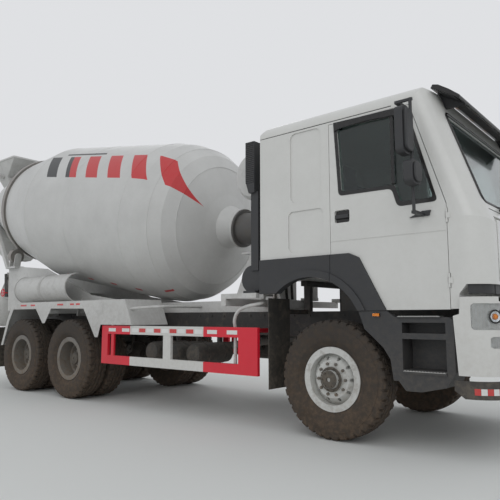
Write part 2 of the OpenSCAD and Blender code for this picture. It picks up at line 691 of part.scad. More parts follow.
// Mudguards over the rear wheels: outer skirts with two arches, and curved tops
mud_y = [640, 1250];
mud_t = 6;
mud_mid = -5000;
module mudguards() {
    color("whitesmoke") translate([bogie_x - mud_mid, 0, 0]) both() {
        slab_y(mud_y[1] - mud_t, mud_y[1]) polygon([[-5975, 1380], [-3020, 1383], [-2870, 1050], [-3540, 1050],
            [-3600, 880], [-3660, 880], [-3948, 1270], [-4795, 1279], [-4965, 1060], [-5025, 1060],
            [-5227, 1276], [-5931, 1275], [-6060, 1080], [-6230, 693], [-6290, 693], [-6120, 1105]]);
        slab_y(mud_y[0], mud_y[1] - 1) polygon([[-5975, 1380], [-3020, 1383], [-2870, 1050], [-2877, 1047],
            [-3025, 1377], [-5972, 1374], [-6114, 1103], [-6284, 693], [-6290, 693], [-6120, 1105]]);
        for (x = [-3200, -4950, -5950])
            box(x - 20, x + 20, rail_y + seat, mud_y[0] + 60, frame_top - 40, frame_top);
        for (x = [-3200, -4950, -5950]) box(x - 20, x + 20, mud_y[0] + 20, mud_y[0] + 60, frame_top - 2, 1379);
    }
}
module mud_flaps() {
    flap_x = rear_axle_x[1] - 725;
    color("dimgray") both() {
        box(-728, -718, 800, 1170, 412, 1344);
        box(-745, -727, rail_y + seat, 1150, 1180, 1230);
        box(flap_x - 20, flap_x - 10, 700, 1240, 330, 960);
        box(flap_x - 40, flap_x - 19, rail_y + seat, 1230, 935, 985);
    }
}

// Steps below the doors, with the lower part of the front mudguard
step_y = cab_y + 20;
module steps() {
    color("dimgray") both() {
        difference() {
            slab_y(830, step_y) polygon([[665, 1146], [1150, 1146], [1188, 1120], [1190, 700], [1110, 570],
                [900, 520], [760, 520], [665, 640]]);
            box(740, 1120, 960, step_y + 1, 700, 960);
            box(740, 1120, 1010, step_y + 1, 1010, 1100);
        }
        slab_y(1100, step_y) polygon([[322, 1200], [350, 1125], [380, 1040], [450, 980], [560, 880],
            [625, 780], [650, 600], [690, 600], [690, 1140], [600, 1200]]);
        box(740, 1120, 1000, step_y + 10, 666, 686);
        box(700, 1085, 1030, step_y + 10, 1140, 1150);
        for (x = [760, 1040]) box(x - 20, x + 20, rail_y + seat, 840, 1040, 1090);
    }
}

// Front bumper, a bent wall
bumper_y = 1195;
bumper_wall = 30;
bumper_low = 680;
bumper_top = 1310;
bumper_r = 260;
// Lowered middle of the top edge, which the nose of the tilted cab passes over
nose_y = 1060;
nose_top = 1271;
module bumper_plan(d) {
    r = bumper_r - d;
    translate([-500, -bumper_y + d]) square([front_reach - r - d + 500, 2 * (bumper_y - d)]);
    translate([-500, -bumper_y + bumper_r]) square([front_reach - d + 500, 2 * (bumper_y - bumper_r)]);
    for (s = [-1, 1]) translate([front_reach - bumper_r, s * (bumper_y - bumper_r)]) circle(r = r);
}
module bumper() {
    color("whitesmoke") difference() {
        intersection() {
            slab_z(bumper_low, bumper_top) difference() {
                bumper_plan(0);
                bumper_plan(bumper_wall);
            }
            slab_y(-2000, 2000) translate([front_reach, 0]) polygon([[-294, bumper_top], [-304, 1172],
                [-355, 1156], [-328, bumper_low], [150, bumper_low], [150, bumper_top]]);
        }
        both() lamp_zones(0);
        // air opening in the middle
        box(front_reach - 150, front_reach + 50, -640, 640, 860, 1040);
        box(front_reach - 150, front_reach + 50, -nose_y, nose_y, nose_top, bumper_top + 1);
    }
    color("whitesmoke") both() box(frame_front + seat, front_reach - bumper_wall + 4, 380, 410, 1050, 1150);
}
// Zones of the headlamp and the fog lamp, cut from the outer part of the wall
module lamp_zones(d) {
    intersection() {
        union() {
            slab_y(600, 1300) rounded(front_reach - 215 + d, front_reach + 150, 1045 + d, 1255 - d, 30);
        }
        slab_z(900, 1300) difference() {
            bumper_plan(-1 + d);
            bumper_plan(18);
        }
        slab_x(front_reach - 350, front_reach + 150) rounded(740 + d, 1400, 1040 + d, 1260 - d, 30);
    }
    intersection() {
        slab_x(front_reach - 250, front_reach + 150) rounded(880 + d, 1130 - d, 900 + d, 990 - d, 20);
        slab_z(800, 1000) difference() {
            bumper_plan(-1 + d);
            bumper_plan(18);
        }
    }
}
module lamps() {
    color("white") {
        both() lamp_zones(1.3);
        // rear lamps and marker lamps
        both() box(-frame_rear - 90, -frame_rear - 50 - seat, 760, 1120, 520, 620);
        both() box(470, 540, step_y + seat, step_y + 14, 1152, 1182);
    }
}
bar_z = [500, 640];
module front_bar() {
    color("dimgray") {
        intersection() {
            slab_z(bar_z[0], bar_z[1]) difference() {
                bumper_plan(10);
                bumper_plan(34);
            }
            slab_y(-2000, 2000) translate([front_reach, 0]) polygon([[-370, bar_z[1]], [-370, 560],
                [-290, bar_z[0]], [150, bar_z[0]], [150, bar_z[1]]]);
        }
        both() slab_y(400, 424) polygon([[frame_front - 200, rail_low - seat], [frame_front, rail_low - seat],
            [front_reach - 20, 640], [front_reach - 20, 560], [front_reach - 110, 560], [frame_front - 200, 830]]);
    }
}

// Water tank across the frame behind the cab
water_x = -1190;
water_z = 2810;
water_r = 300;
module water_tank() {
    // columns: half length, radius
    side = [[900, 0], [885, 150], [850, 260], [790, water_r]];
    outline = concat([for (p = side) [p[1], p[0]]], [for (i = [3:-1:0]) [side[i][1], -side[i][0]]]);
    color("whitesmoke") {
        translate([water_x, 0, water_z]) rotate([-90, 0, 0]) rotate_extrude($fn = 72) polygon(outline);
        both() {
            box(water_x - 50, water_x + 50, 330, 420, subframe_top + 40, water_z - water_r + 60);
            box(water_x - 160, water_x + 60, 330, 420, subframe_top + seat, subframe_top + 40);
        }
        box(-1300 + seat, water_x + 50, -420, 420, 1700, 1760);
    }
}
module air_intake() {
    color("dimgray") {
        slab_y(-1150, -960) polygon([[-930, 2600], [-930, 3087], [-1055, 3087], [-1055, 2640], [-1010, 2507],
            [-930, 2507]]);
        box(-1000, -900, -1120, -990, 1650, 2520);
        rod_y(-1000, 1560, 150, -1100, -700);
        box(-1060, -1000, -1000, -940, subframe_top + 49 + seat, 1430);
        box(-1060, -900, -1180, -900, 1404 + seat, 1430);
    }
}

// Two spare chute lengths hung on the right
spare_y = -830;
spare_z = 1615;
spare_r = 222;
module spare_chutes() {
    color("whitesmoke") {
        for (x = [[-6321, -5545], [-5535, -4758]]) difference() {
            union() {
                rod_x(spare_y, spare_z, spare_r, x[0], x[1]);
                rod_x(spare_y, spare_z, spare_r + 10, x[0], x[0] + 24);
                rod_x(spare_y, spare_z, spare_r + 10, x[1] - 24, x[1]);
            }
            rod_x(spare_y, spare_z, spare_r - 6, x[0] - 1, x[1] + 1);
            box(-6400, -4700, spare_y, spare_y + 300, 1300, 1900);
        }
        for (x = [-6100, -5760, -5320, -4980]) {
            box(x - 15, x + 15, spare_y - 20, -plate_y - plate_t - seat,
                spare_z - spare_r - 10, spare_z - spare_r + 4);
            box(x - 15, x + 15, -plate_y - plate_t - 14, -plate_y - plate_t - seat,
                spare_z - spare_r - 10, spare_z - spare_r + 60);
        }
    }
}

// Cab. The outside and the inside are both cut from the same four outlines.
slope_foot = [1440, 2060];
slope_a = atan2(320, 920);
module cab_side_outline() {
    polygon([[-cab_rear, deck_low], [-cab_rear, cab_top - 90], [-cab_rear + 90, cab_top], [930, cab_top],
        [1060, cab_top - 72], [1120, 2980], slope_foot, [cab_front, 1990], [cab_front, 1415], [1300, 1415],
        [1240, 1335], [1240, 1215], [door_front_x - 20, 1215], [door_front_x - 20, 1300], [640, 1300],
        [560, deck_low]]);
}
module cab_inside_outline() {
    polygon([[-cab_rear + cab_wall, deck_low + 40], [-cab_rear + cab_wall, cab_top - 130],
        [-cab_rear + cab_wall + 60, cab_top - cab_wall], [910, cab_top - cab_wall], [1000, cab_top - 120],
        [1046, 2980], [1368, 2050], [cab_front - cab_wall, 1960], [cab_front - cab_wall, 1450],
        [1290, 1450], [1220, 1330], [650, 1330], [600, deck_low + 40]]);
}
// A plan with rounded front corners, its front at x1
module cab_plan(x0, x1, half, r) {
    translate([x0, -half]) square([x1 - r - x0, 2 * half]);
    translate([x0, r - half]) square([x1 - x0, 2 * (half - r)]);
    for (s = [-1, 1]) translate([x1 - r, s * (half - r)]) circle(r = r);
}
module along_screen(x0, x1) {
    translate([slope_foot[0], 0, slope_foot[1]]) rotate([0, -slope_a, 0]) slab_z(x0, x1) children();
}
module cab_body() {
    intersection() {
        slab_z(1000, 3400) cab_plan(-cab_rear - 50, cab_front, cab_y, cab_corner_r);
        along_screen(-1500, 2400) cab_plan(-3500, 0, cab_y, cab_corner_r - 30);
        slab_x(-1000, 1700) union() {
            translate([-cab_y, 1000]) square([2 * cab_y, cab_top - roof_r - 1000]);
            translate([-cab_y + roof_r, 1000]) square([2 * (cab_y - roof_r), cab_top - 1000]);
            for (s = [-1, 1]) translate([s * (cab_y - roof_r), cab_top - roof_r]) circle(r = roof_r);
        }
        slab_y(-1300, 1300) cab_side_outline();
    }
}
module cab_hollow() {
    y = cab_y - cab_wall;
    x = cab_front - cab_wall;
    top = cab_top - cab_wall;
    intersection() {
        slab_z(1000, 3400) polygon([[-900, -y], [x - 150, -y], [x, 150 - y], [x, y - 150], [x - 150, y], [-900, y]]);
        along_screen(-1500, 2400) polygon([[-3500, -y], [-200, -y], [-cab_wall, 130 - y], [-cab_wall, y - 130],
            [-200, y], [-3500, y]]);
        slab_x(-1000, 1700) polygon([[-y, 1000], [y, 1000], [y, top - 90], [y - 90, top], [90 - y, top],
            [-y, top - 90]]);
        slab_y(-1300, 1300) cab_inside_outline();
    }
}
door_in_y = cab_y - 65;
door_rake = [889, 2989];
door_knee_z = 2107;
door_top = 3045;
door_top_x = door_front_x - (door_top - door_knee_z) * (door_front_x - door_rake[0]) / (door_rake[1] - door_knee_z);
window_outline = [[117, 2997], [157, 2341], [705, 2329], [754, 2162], [1064, 2164], [832, 2980]];
hinge_x = door_front_x - 3;
hinge_y = cab_y + 2;
hinge_z = [1450, 2000];
hinge_pin_r = 6;
hinge_r = 9;
module hinge_barrel(z0, z1, r) {
    for (z = hinge_z) rod_z(hinge_x, hinge_y, r, z + z0, z + z1);
}
tunnel_y = 420;
module cab_shell() {
    color("whitesmoke") {
        difference() {
            cab_body();
            cab_hollow();
            // doorways
            both() slab_y(door_in_y - 5.5, cab_y + 50) polygon([[door_seam_x, 1000], [door_seam_x, door_top + door_gap],
                [door_top_x, door_top + door_gap], [door_front_x, door_knee_z], [door_front_x, 1000]]);
            both() hinge_barrel(-63, -24, 14);
            both() hinge_barrel(24, 63, 14);
            // windscreen
            translate([slope_foot[0], 0, slope_foot[1]]) rotate([0, -slope_a, 0]) slab_x(-200, 100)
                rounded(-980, 980, 64, 950, 60);
            // bay of the front panel
            box(1440, 1600, -885, 885, 1440, 1995);
            // between the front corners, under the floor
            box(1100, 1260, -cab_y + cab_wall, cab_y - cab_wall, 1200, 1300);
            // channel over the engine
            box(500, 1290, -tunnel_y, tunnel_y, 1250, deck_low);
            // pressed panels behind the doors
            both() slab_y(cab_y - 12, cab_y + 20) rounded(-444, -69, 2307, 3050, 70);
            both() slab_y(cab_y - 12, cab_y + 20) rounded(-477, -51, 1800, 2224, 60);
            // roof seam
            both() box(-cab_rear - 10, 700, cab_y - 5, cab_y + 10, 3072, 3080);
        }
        // engine tunnel
        both() box(500, 1250, tunnel_y, tunnel_y + 30, 1300, deck_low + 40);
        box(500, 1250, -tunnel_y - 30, tunnel_y + 30, deck_low, deck_low + 40);
        box(1220, 1250, -tunnel_y - 30, tunnel_y + 30, 1320, deck_low + 40);
        // lugs on the tilt pivot
        both() difference() {
            slab_y(lug_y, lug_y + lug_t) union() {
                translate([pivot_x, pivot_z]) circle(r = 42);
                polygon([[pivot_x - 42, pivot_z], [pivot_x - 42, 1430], [pivot_x + 42, 1430], [pivot_x + 42, pivot_z]]);
            }
            rod_y(pivot_x, pivot_z, pivot_r + slack, 300, 700);
        }
        both() hinge_barrel(-24, 24, hinge_r);
        both() hinge_barrel(-60, 60, hinge_pin_r);
        both() for (z = hinge_z) box(hinge_x + 4, hinge_x + 30, cab_y - 4, cab_y + 6, z - 24, z + 24);
        // pins of the front panel's hinge
        for (y = lid_hinge_y) {
            rod_y(lid_hinge[0], lid_hinge[1], hinge_pin_r, y - 40, y + 40);
            rod_y(lid_hinge[0], lid_hinge[1], 8, y - 15, y + 15);
            box(1455, lid_hinge[0], y - 15, y + 15, lid_hinge[1] - 4, 2000);
        }
    }
}
lid_hinge = [1480, 1978];
lid_hinge_y = [-600, 600];
module front_panel() {
    color("whitesmoke") difference() {
        union() {
            box(1450, 1490, -880, 880, 1446, 1960);
            for (y = lid_hinge_y, e = [-1, 1]) {
                translate([0, y + e * 27, 0]) rod_y(lid_hinge[0], lid_hinge[1], 11, -11, 11);
                box(lid_hinge[0] - 8, lid_hinge[0] + 8, y + e * 27 - 11, y + e * 27 + 11, 1950, lid_hinge[1]);
            }
        }
        for (z = [1500:52:1720]) box(1400, 1600, -700, 700, z, z + 26);
        for (y = lid_hinge_y) rod_y(lid_hinge[0], lid_hinge[1], hinge_pin_r + slack, y - 60, y + 60);
    }
}
module windscreen() {
    color("lightblue") translate([slope_foot[0], 0, slope_foot[1]]) rotate([0, -slope_a, 0])
        slab_x(-30, -30 + glass_t) rounded(-980, 980, 64, 950, 60);
}
visor_z = 3165;
arch_at = [-220, 940];
// Raised lip along the wheel arch
module arch_lip(x0, x1, z0) {
    slab_y(cab_y + flare_out - 1, cab_y + flare_out + 14) intersection() {
        translate(arch_at) difference() {
            circle(r = arch_r + 70, $fn = 96);
            circle(r = arch_r, $fn = 96);
        }
        translate([x0, z0]) square([x1 - x0, 700]);
    }
}
module cab_trim() {
    color("dimgray") {
        // dark wheel arch panels behind the doors
        both() slab_y(cab_y + seat, cab_y + flare_out) difference() {
            polygon([[-cab_rear, 1390], [-cab_rear, 1747], [door_seam_x, 1747], [door_seam_x, 1390]]);
            translate(arch_at) circle(r = arch_r, $fn = 96);
        }
        both() slab_y(cab_y - 60, cab_y + 2) difference() {
            polygon([[-cab_rear, 1390], [-cab_rear, deck_low - seat], [door_seam_x, deck_low - seat],
                [door_seam_x, 1390]]);
            translate(arch_at) circle(r = arch_r, $fn = 96);
        }
        both() arch_lip(-cab_rear, door_seam_x, 1390);
        // dark band under the front panel
        intersection() {
            slab_z(1338, 1415 - seat) difference() {
                union() {
                    translate([1200, -1120]) square([55, 2240]);
                    translate([1200, -920]) square([260, 1840]);
                    for (s = [-1, 1]) translate([1255, s * 920]) circle(r = 200);
                }
                translate([1000, -1090]) square([255, 2180]);
                translate([1000, -920]) square([430, 1840]);
                for (s = [-1, 1]) translate([1255, s * 920]) circle(r = 170);
            }
            box(1301, 1500, -1200, 1200, 1300, 1500);
        }
        // sun visor with its brackets
        slab_y(-1080, 1080) polygon([[1062, visor_z], [1290, 3020], [1300, 3032], [1072, visor_z + 20]]);
        both() slab_y(870, 890) polygon([[1025, 3170], [1060.3, 3150.3], [1106, 3021], [1200, 3021], [1285, 3030],
            [1080, visor_z], [1040, 3185]]);
    }
}
module cab_interior() {
    floor_z = 1330 + seat;
    deck_z = deck_low + 40 + seat;
    color("gray") {
        both() {
            box(-60, 430, 300, 800, deck_z, deck_z + 230);
            slab_y(300, 800) polygon([[-60, 1800], [430, 1800], [430, 1960], [380, 1990], [60, 1940], [-60, 1960]]);
            slab_y(300, 800) polygon([[-60, 1900], [60, 1900], [-30, 2560], [-150, 2560]]);
            slab_y(430, 670) polygon([[-140, 2540], [-50, 2540], [-80, 2760], [-170, 2760]]);
        }
        slab_y(-940, 940) polygon([[1120, 1760], [1330, 1760], [1395, 1960], [1310, 2090], [1110, 2090],
            [1060, 2000]]);
        box(1120, 1200, -200, 200, deck_z, 1800);
        box(-700, -200, -1000, 1000, deck_z, deck_z + 300);
        translate([930, 550, 2130]) rotate([0, -35, 0]) {
            rotate_extrude($fn = 48) translate([215, 0]) circle(r = 15);
            box(-215, 215, -18, 18, -8, 8);
            translate([0, 0, -230]) cylinder(r = 30, h = 235);
        }
    }
}

// Doors
module door(side) {
    g = door_gap;
    color("whitesmoke") on_side(side) difference() {
        union() {
            slab_y(door_in_y, cab_y) polygon([[door_seam_x + g, 1747], [door_seam_x + g, door_top],
                [door_top_x - g, door_top], [door_front_x - g, door_knee_z - 6], [door_front_x - g, door_bottom],
                [595, door_bottom], [336, 1700], [233, 1747]]);
            hinge_barrel(24.5, 60, hinge_r);
            hinge_barrel(-60, -24.5, hinge_r);
        }
        slab_y(door_in_y - 5, cab_y + 5) polygon(window_outline);
        hinge_barrel(-26, 26, 14);
        hinge_barrel(-70, 70, hinge_pin_r + slack);
        // pressed line and handle pocket
        box(door_seam_x, door_front_x, cab_y - 4, cab_y + 5, 1862, 1874);
        slab_y(cab_y - 25, cab_y + 5) rounded(79, 241, 2048, 2171, 20);
    }
}
module door_glass(side) {
    color("lightblue") on_side(side) slab_y(cab_y - 26, cab_y - 26 + glass_t) polygon(window_outline);
}
mirror_y = 1405;
module door_trim(side) {
    g = door_gap;
    color("dimgray") on_side(side) {
        // dark wheel arch panel, handle, mirrors on their arm
        slab_y(door_in_y, cab_y + flare_out) difference() {
            polygon([[door_seam_x + g, 1747 - seat], [233, 1747 - seat], [336, 1700 - seat],
                [595 - seat, 1206], [door_seam_x + g, 1206]]);
            translate(arch_at) circle(r = arch_r, $fn = 96);
        }
        arch_lip(door_seam_x + g, 590, 1206);
        box(90, 230, cab_y - 14, cab_y + 8, 2090, 2125);
        box(84, 104, cab_y - 25 + seat, cab_y, 2090, 2125);
        box(940, 980, cab_y + seat, 1345, 2014, 2038);
        box(820, 860, cab_y + seat, 1345, 3002, 3026);
        box(820, 980, 1325, 1345, 3002, 3026);
        slab_y(cab_y + seat, cab_y + 14) polygon([[840, 2012], [1020, 2012], [1035, 2060], [960, 2060]]);
        rod_z(960, 1335, 14, 2014, 3026);
        slab_x(885, 955) rounded(1315, 1500, 2513, 2925, 45);
        slab_x(945, 1025) rounded(1315, 1490, 2243, 2447, 40);
    }
}

place() frame();
place() subframe();
place() drum_supports();
place() drum_drive();
place() axles();
place() springs();
place() driveline();
place() tanks();
place() side_guards();
place() guard_ends();
place() mudguards();
place() mud_flaps();
place() steps();
place() bumper();
place() lamps();
place() front_bar();
place() water_tank();
place() air_intake();
place() spare_chutes();
place() hopper();
place() ladder();
place() drum();
place() drum_track();
place() roller(1);  // roller_left
place() roller(-1);  // roller_right
place() cab_shell();
place() cab_trim();
place() windscreen();
place() cab_interior();
place() front_panel();
place() door(1);  // door_left
place() door(-1);  // door_right
place() door_glass(1);  // door_glass_left
place() door_glass(-1);  // door_glass_right
place() door_trim(1);  // door_trim_left
place() door_trim(-1);  // door_trim_right
place() chute_swivel();
place() chute();
place() knuckle(1);  // knuckle_left
place() knuckle(-1);  // knuckle_right
place() tie_rod();
place() front_tyre(1);  // front_tyre_left
place() front_tyre(-1);  // front_tyre_right
place() front_rim(1);  // front_rim_left
place() front_rim(-1);  // front_rim_right
place() rear_tyres(0, 1);  // rear_tyres_1_left
place() rear_tyres(0, -1);  // rear_tyres_1_right
place() rear_tyres(1, 1);  // rear_tyres_2_left
place() rear_tyres(1, -1);  // rear_tyres_2_right
place() rear_rims(0, 1);  // rear_rims_1_left
place() rear_rims(0, -1);  // rear_rims_1_right
place() rear_rims(1, 1);  // rear_rims_2_left
place() rear_rims(1, -1);  // rear_rims_2_right
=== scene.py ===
import math

import bmesh
import bpy
from mathutils import Matrix, Vector


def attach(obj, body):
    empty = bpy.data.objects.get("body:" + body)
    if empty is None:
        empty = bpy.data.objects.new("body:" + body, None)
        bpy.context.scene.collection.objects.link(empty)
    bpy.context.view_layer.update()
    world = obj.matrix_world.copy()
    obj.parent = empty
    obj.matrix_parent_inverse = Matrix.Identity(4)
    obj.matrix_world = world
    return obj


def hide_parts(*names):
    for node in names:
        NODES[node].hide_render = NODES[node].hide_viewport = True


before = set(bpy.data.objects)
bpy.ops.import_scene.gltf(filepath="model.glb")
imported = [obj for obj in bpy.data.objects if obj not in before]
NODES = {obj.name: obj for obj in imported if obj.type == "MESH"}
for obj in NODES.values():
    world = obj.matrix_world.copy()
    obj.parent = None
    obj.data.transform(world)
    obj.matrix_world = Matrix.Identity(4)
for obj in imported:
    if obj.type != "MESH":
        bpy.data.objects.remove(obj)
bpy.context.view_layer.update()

# Measures below are in millimetres from the front axle's centre line, as in the part's source.
FRONT_AXLE_X = 3.690
AXLE_Z = 562.5
SIDES = (("left", 1), ("right", -1))


# Materials
def node_tools(name):
    mat = bpy.data.materials.new(name)
    mat.use_nodes = True
    tree = mat.node_tree
    bsdf = tree.nodes["Principled BSDF"]

    def add(kind, inputs=None, **props):
        n = tree.nodes.new(kind)
        for k, v in props.items():
            setattr(n, k, v)
        for k, v in (inputs or {}).items():
            if isinstance(v, bpy.types.NodeSocket):
                tree.links.new(v, n.inputs[k])
            else:
                n.inputs[k].default_value = v
        return n

    def math_node(op, a, b=0.0, clamp=False):
        return add("ShaderNodeMath", {0: a, 1: b}, operation=op, use_clamp=clamp).outputs[0]

    def mix(factor, a, b):
        n = add("ShaderNodeMix", data_type="RGBA")
        for socket, v in zip((n.inputs[0], n.inputs[6], n.inputs[7]), (factor, a, b)):
            if isinstance(v, bpy.types.NodeSocket):
                tree.links.new(v, socket)
            else:
                socket.default_value = v
        return n.outputs[2]

    def noise(scale, detail=4.0, rough=0.6):
        return add("ShaderNodeTexNoise", {"Vector": coord, "Scale": scale, "Detail": detail,
                                          "Roughness": rough}).outputs["Fac"]

    def span(value, lo, hi, out_lo=0.0, out_hi=1.0):
        return add("ShaderNodeMapRange", {"Value": value, "From Min": lo, "From Max": hi, "To Min": out_lo,
                                          "To Max": out_hi}).outputs["Result"]

    coord = add("ShaderNodeTexCoord").outputs["Object"]
    height = add("ShaderNodeSeparateXYZ", {0: coord}).outputs["Z"]
    return mat, tree, bsdf, add, math_node, mix, noise, span, coord, height


def rgba(c):
    return (c[0], c[1], c[2], 1.0)


DUST = (0.30, 0.25, 0.19)


def surface(name, color, rough=0.45, metallic=0.0, dust=0.25, low=0.9, dust_color=DUST, shade=0.12,
            grain=900.0, bump=0.05, coat=0.0, patches=0.0, paint=None):
    """Paint, plastic or metal with uneven shade, dust that thickens towards the ground, and a fine grain."""
    mat, tree, bsdf, add, math_node, mix, noise, span, coord, height = node_tools(name)
    broad, fine = noise(1.7), noise(23.0, 6.0, 0.7)
    base = rgba(color)
    darker = rgba([v * (1 - shade) for v in color])
    col = mix(span(broad, 0.35, 0.65), base, darker)
    if paint is not None:
        col = paint(add, math_node, mix, coord, col)
    near_ground = span(height, low, 0.15, 0.0, 1.0)
    speckle = span(fine, 0.42, 0.68)
    amount = math_node("MULTIPLY", math_node("ADD", math_node("MULTIPLY", near_ground, 0.75), 0.18), dust)
    streak = math_node("MULTIPLY", math_node("ADD", speckle, 0.45), amount, clamp=True)
    col = mix(streak, col, rgba(dust_color))
    if patches:
        spots = span(noise(7.0, 8.0, 0.75), 0.53, 0.62, 0.0, patches)
        col = mix(spots, col, rgba([v * 0.5 for v in dust_color]))
    tree.links.new(col, bsdf.inputs["Base Color"])
    tree.links.new(span(math_node("ADD", fine, streak), 0.3, 1.4, rough * 0.85, min(1.0, rough * 1.5)),
                   bsdf.inputs["Roughness"])
    bsdf.inputs["Metallic"].default_value = metallic
    bsdf.inputs["Coat Weight"].default_value = coat
    bsdf.inputs["Coat Roughness"].default_value = 0.15
    relief = add("ShaderNodeBump", {"Height": noise(grain, 2.0), "Strength": bump, "Distance": 0.002})
    tree.links.new(relief.outputs[0], bsdf.inputs["Normal"])
    return mat


def clear(name, color, rough=0.03, ior=1.45, transmission=1.0):
    """Glass or lamp plastic with a little dirt."""
    mat, tree, bsdf, _, _, mix, noise, span, _, _ = node_tools(name)
    tree.links.new(mix(span(noise(30.0, 5.0), 0.5, 0.75, 0.0, 0.25), rgba(color), rgba((0.5, 0.46, 0.4))),
                   bsdf.inputs["Base Color"])
    tree.links.new(span(noise(60.0, 4.0), 0.4, 0.8, rough, rough + 0.12), bsdf.inputs["Roughness"])
    bsdf.inputs["Transmission Weight"].default_value = transmission
    bsdf.inputs["IOR"].default_value = ior
    return mat


DRUM_TILT = math.radians(9.8)
DRUM_HEAD = (FRONT_AXLE_X - 2.499, 0.0, 2.442)
# Painted marks on the drum: angles from the horizontal in degrees, lengths along the axis in metres
STRIPE_RED = (0.55, 0.03, 0.035, 1.0)
STRIPE_DARK = (0.035, 0.037, 0.04, 1.0)
BAR_ANGLES = (24, 47)
BAR_LEAN = 0.9
BAR_PITCH = 0.56
BAR_LENGTH = 0.30
RED_BARS = (-0.5, 1.95)
DARK_BARS = (1.95, 2.75)
RULE_ANGLES = (49.5, 52)
RULE_SPAN = (1.1, 2.2)
DASH_ANGLES = (-65, -62.5)
DASH_PITCH = 0.62
DASH_LENGTH = 0.15
DASH_SPAN = (0.2, 3.2)


def drum_stripes(add, math_node, mix, coord, col):
    """Slanted bars high on both sides of the drum, and low dashes, by place along the axis and angle."""
    turned = add("ShaderNodeMapping", {"Vector": coord, "Location": [-v for v in DRUM_HEAD]}).outputs[0]
    xyz = add("ShaderNodeSeparateXYZ", {0: turned})
    c, s = math.cos(DRUM_TILT), math.sin(DRUM_TILT)

    def multiply(a, b):
        return math_node("MULTIPLY", a, b)

    along = math_node("ADD", multiply(xyz.outputs[0], -c), multiply(xyz.outputs[2], s))
    up = math_node("ADD", multiply(xyz.outputs[0], s), multiply(xyz.outputs[2], c))
    out = math_node("ABSOLUTE", xyz.outputs[1])
    angle = math_node("ARCTAN2", up, out)

    def between(value, limits):
        above = math_node("GREATER_THAN", value, limits[0])
        return multiply(above, math_node("LESS_THAN", value, limits[1]))

    def at_angles(limits):
        return between(angle, [math.radians(v) for v in limits])

    slanted = math_node("SUBTRACT", along, multiply(angle, BAR_LEAN))
    phase = math_node("MODULO", math_node("ADD", slanted, 10.0), BAR_PITCH)
    band = at_angles(BAR_ANGLES)
    bars = multiply(multiply(between(phase, (0.0, BAR_LENGTH)), band), between(slanted, RED_BARS))
    col = mix(bars, col, STRIPE_RED)
    dark = multiply(multiply(between(phase, (0.0, BAR_LENGTH)), band), between(slanted, DARK_BARS))
    col = mix(dark, col, STRIPE_DARK)
    rule = multiply(at_angles(RULE_ANGLES), between(slanted, RULE_SPAN))
    col = mix(rule, col, STRIPE_DARK)
    low = at_angles(DASH_ANGLES)
    dash = math_node("MODULO", math_node("ADD", along, 5.305), DASH_PITCH)
    dashes = multiply(multiply(low, between(dash, (0.0, DASH_LENGTH))), between(along, DASH_SPAN))
    return mix(dashes, col, STRIPE_RED)


WHITE = (0.66, 0.66, 0.635)
M = {
    "paint": surface("cab_paint", WHITE, 0.32, dust=0.22, low=1.5, coat=0.35, shade=0.05),
    "drum": surface("drum_paint", (0.60, 0.60, 0.585), 0.42, dust=0.30, low=2.2, shade=0.10,
                    paint=drum_stripes, dust_color=(0.36, 0.33, 0.29)),
    "body": surface("body_paint", (0.60, 0.60, 0.585), 0.45, dust=0.45, low=2.0, shade=0.12, patches=0.15,
                    dust_color=(0.33, 0.30, 0.26)),
    "red": surface("guard_paint", (0.72, 0.008, 0.030), 0.38, dust=0.08, low=0.9, coat=0.2, shade=0.08),
    "plastic": surface("dark_plastic", (0.032, 0.034, 0.038), 0.55, dust=0.20, low=1.3, grain=500.0,
                       bump=0.25),
    "frame": surface("frame_paint", (0.022, 0.023, 0.025), 0.6, dust=0.42, low=1.1, patches=0.3),
    "cast": surface("cast_metal", (0.13, 0.13, 0.13), 0.6, 0.3, dust=0.6, low=1.3, grain=260.0, bump=0.4,
                    patches=0.3),
    "tyre": surface("tyre_rubber", (0.026, 0.024, 0.022), 0.85, dust=1.0, low=1.25,
                    dust_color=(0.105, 0.075, 0.052), grain=120.0, bump=0.5, patches=0.6),
    "rim": surface("rim_paint", (0.66, 0.67, 0.65), 0.5, 0.0, dust=0.35, low=1.0,
                   dust_color=(0.26, 0.19, 0.12), patches=0.3),
    "rim_worn": surface("rim_worn", (0.20, 0.20, 0.195), 0.6, 0.1, dust=0.8, low=1.1,
                        dust_color=(0.22, 0.16, 0.10), patches=0.4),
    "hub": surface("hub_metal", (0.06, 0.058, 0.055), 0.55, 0.4, dust=0.6, low=1.0, patches=0.4),
    "steel": surface("worn_steel", (0.36, 0.34, 0.32), 0.4, 0.85, dust=0.3, low=1.5, patches=0.3),
    "bright": surface("bright_plate", (0.62, 0.62, 0.60), 0.35, 0.8, dust=0.3, low=1.0),
    "fabric": surface("cabin_trim", (0.06, 0.062, 0.068), 0.8, dust=0.1, grain=700.0, bump=0.5),
    "rubber": surface("flap_rubber", (0.018, 0.018, 0.018), 0.75, dust=0.38, low=1.2, patches=0.3),
    "glass": clear("window_glass", (0.50, 0.58, 0.57)),
    "lens": clear("lamp_lens", (0.93, 0.95, 0.96), 0.02),
    "orange": clear("orange_lens", (0.95, 0.28, 0.02), 0.1, transmission=0.25),
    "red_lens": clear("red_lens", (0.65, 0.015, 0.015), 0.12, transmission=0.2),
    "tape_red": surface("tape_red", (0.62, 0.03, 0.03), 0.3, dust=0.2, coat=0.4),
    "tape_white": surface("tape_white", (0.78, 0.78, 0.76), 0.3, dust=0.2, coat=0.4),
    "chrome": surface("chrome", (0.75, 0.76, 0.77), 0.12, 1.0, dust=0.08, bump=0.01),
    "black": surface("black_gloss", (0.012, 0.012, 0.013), 0.25, dust=0.15, low=1.2),
}

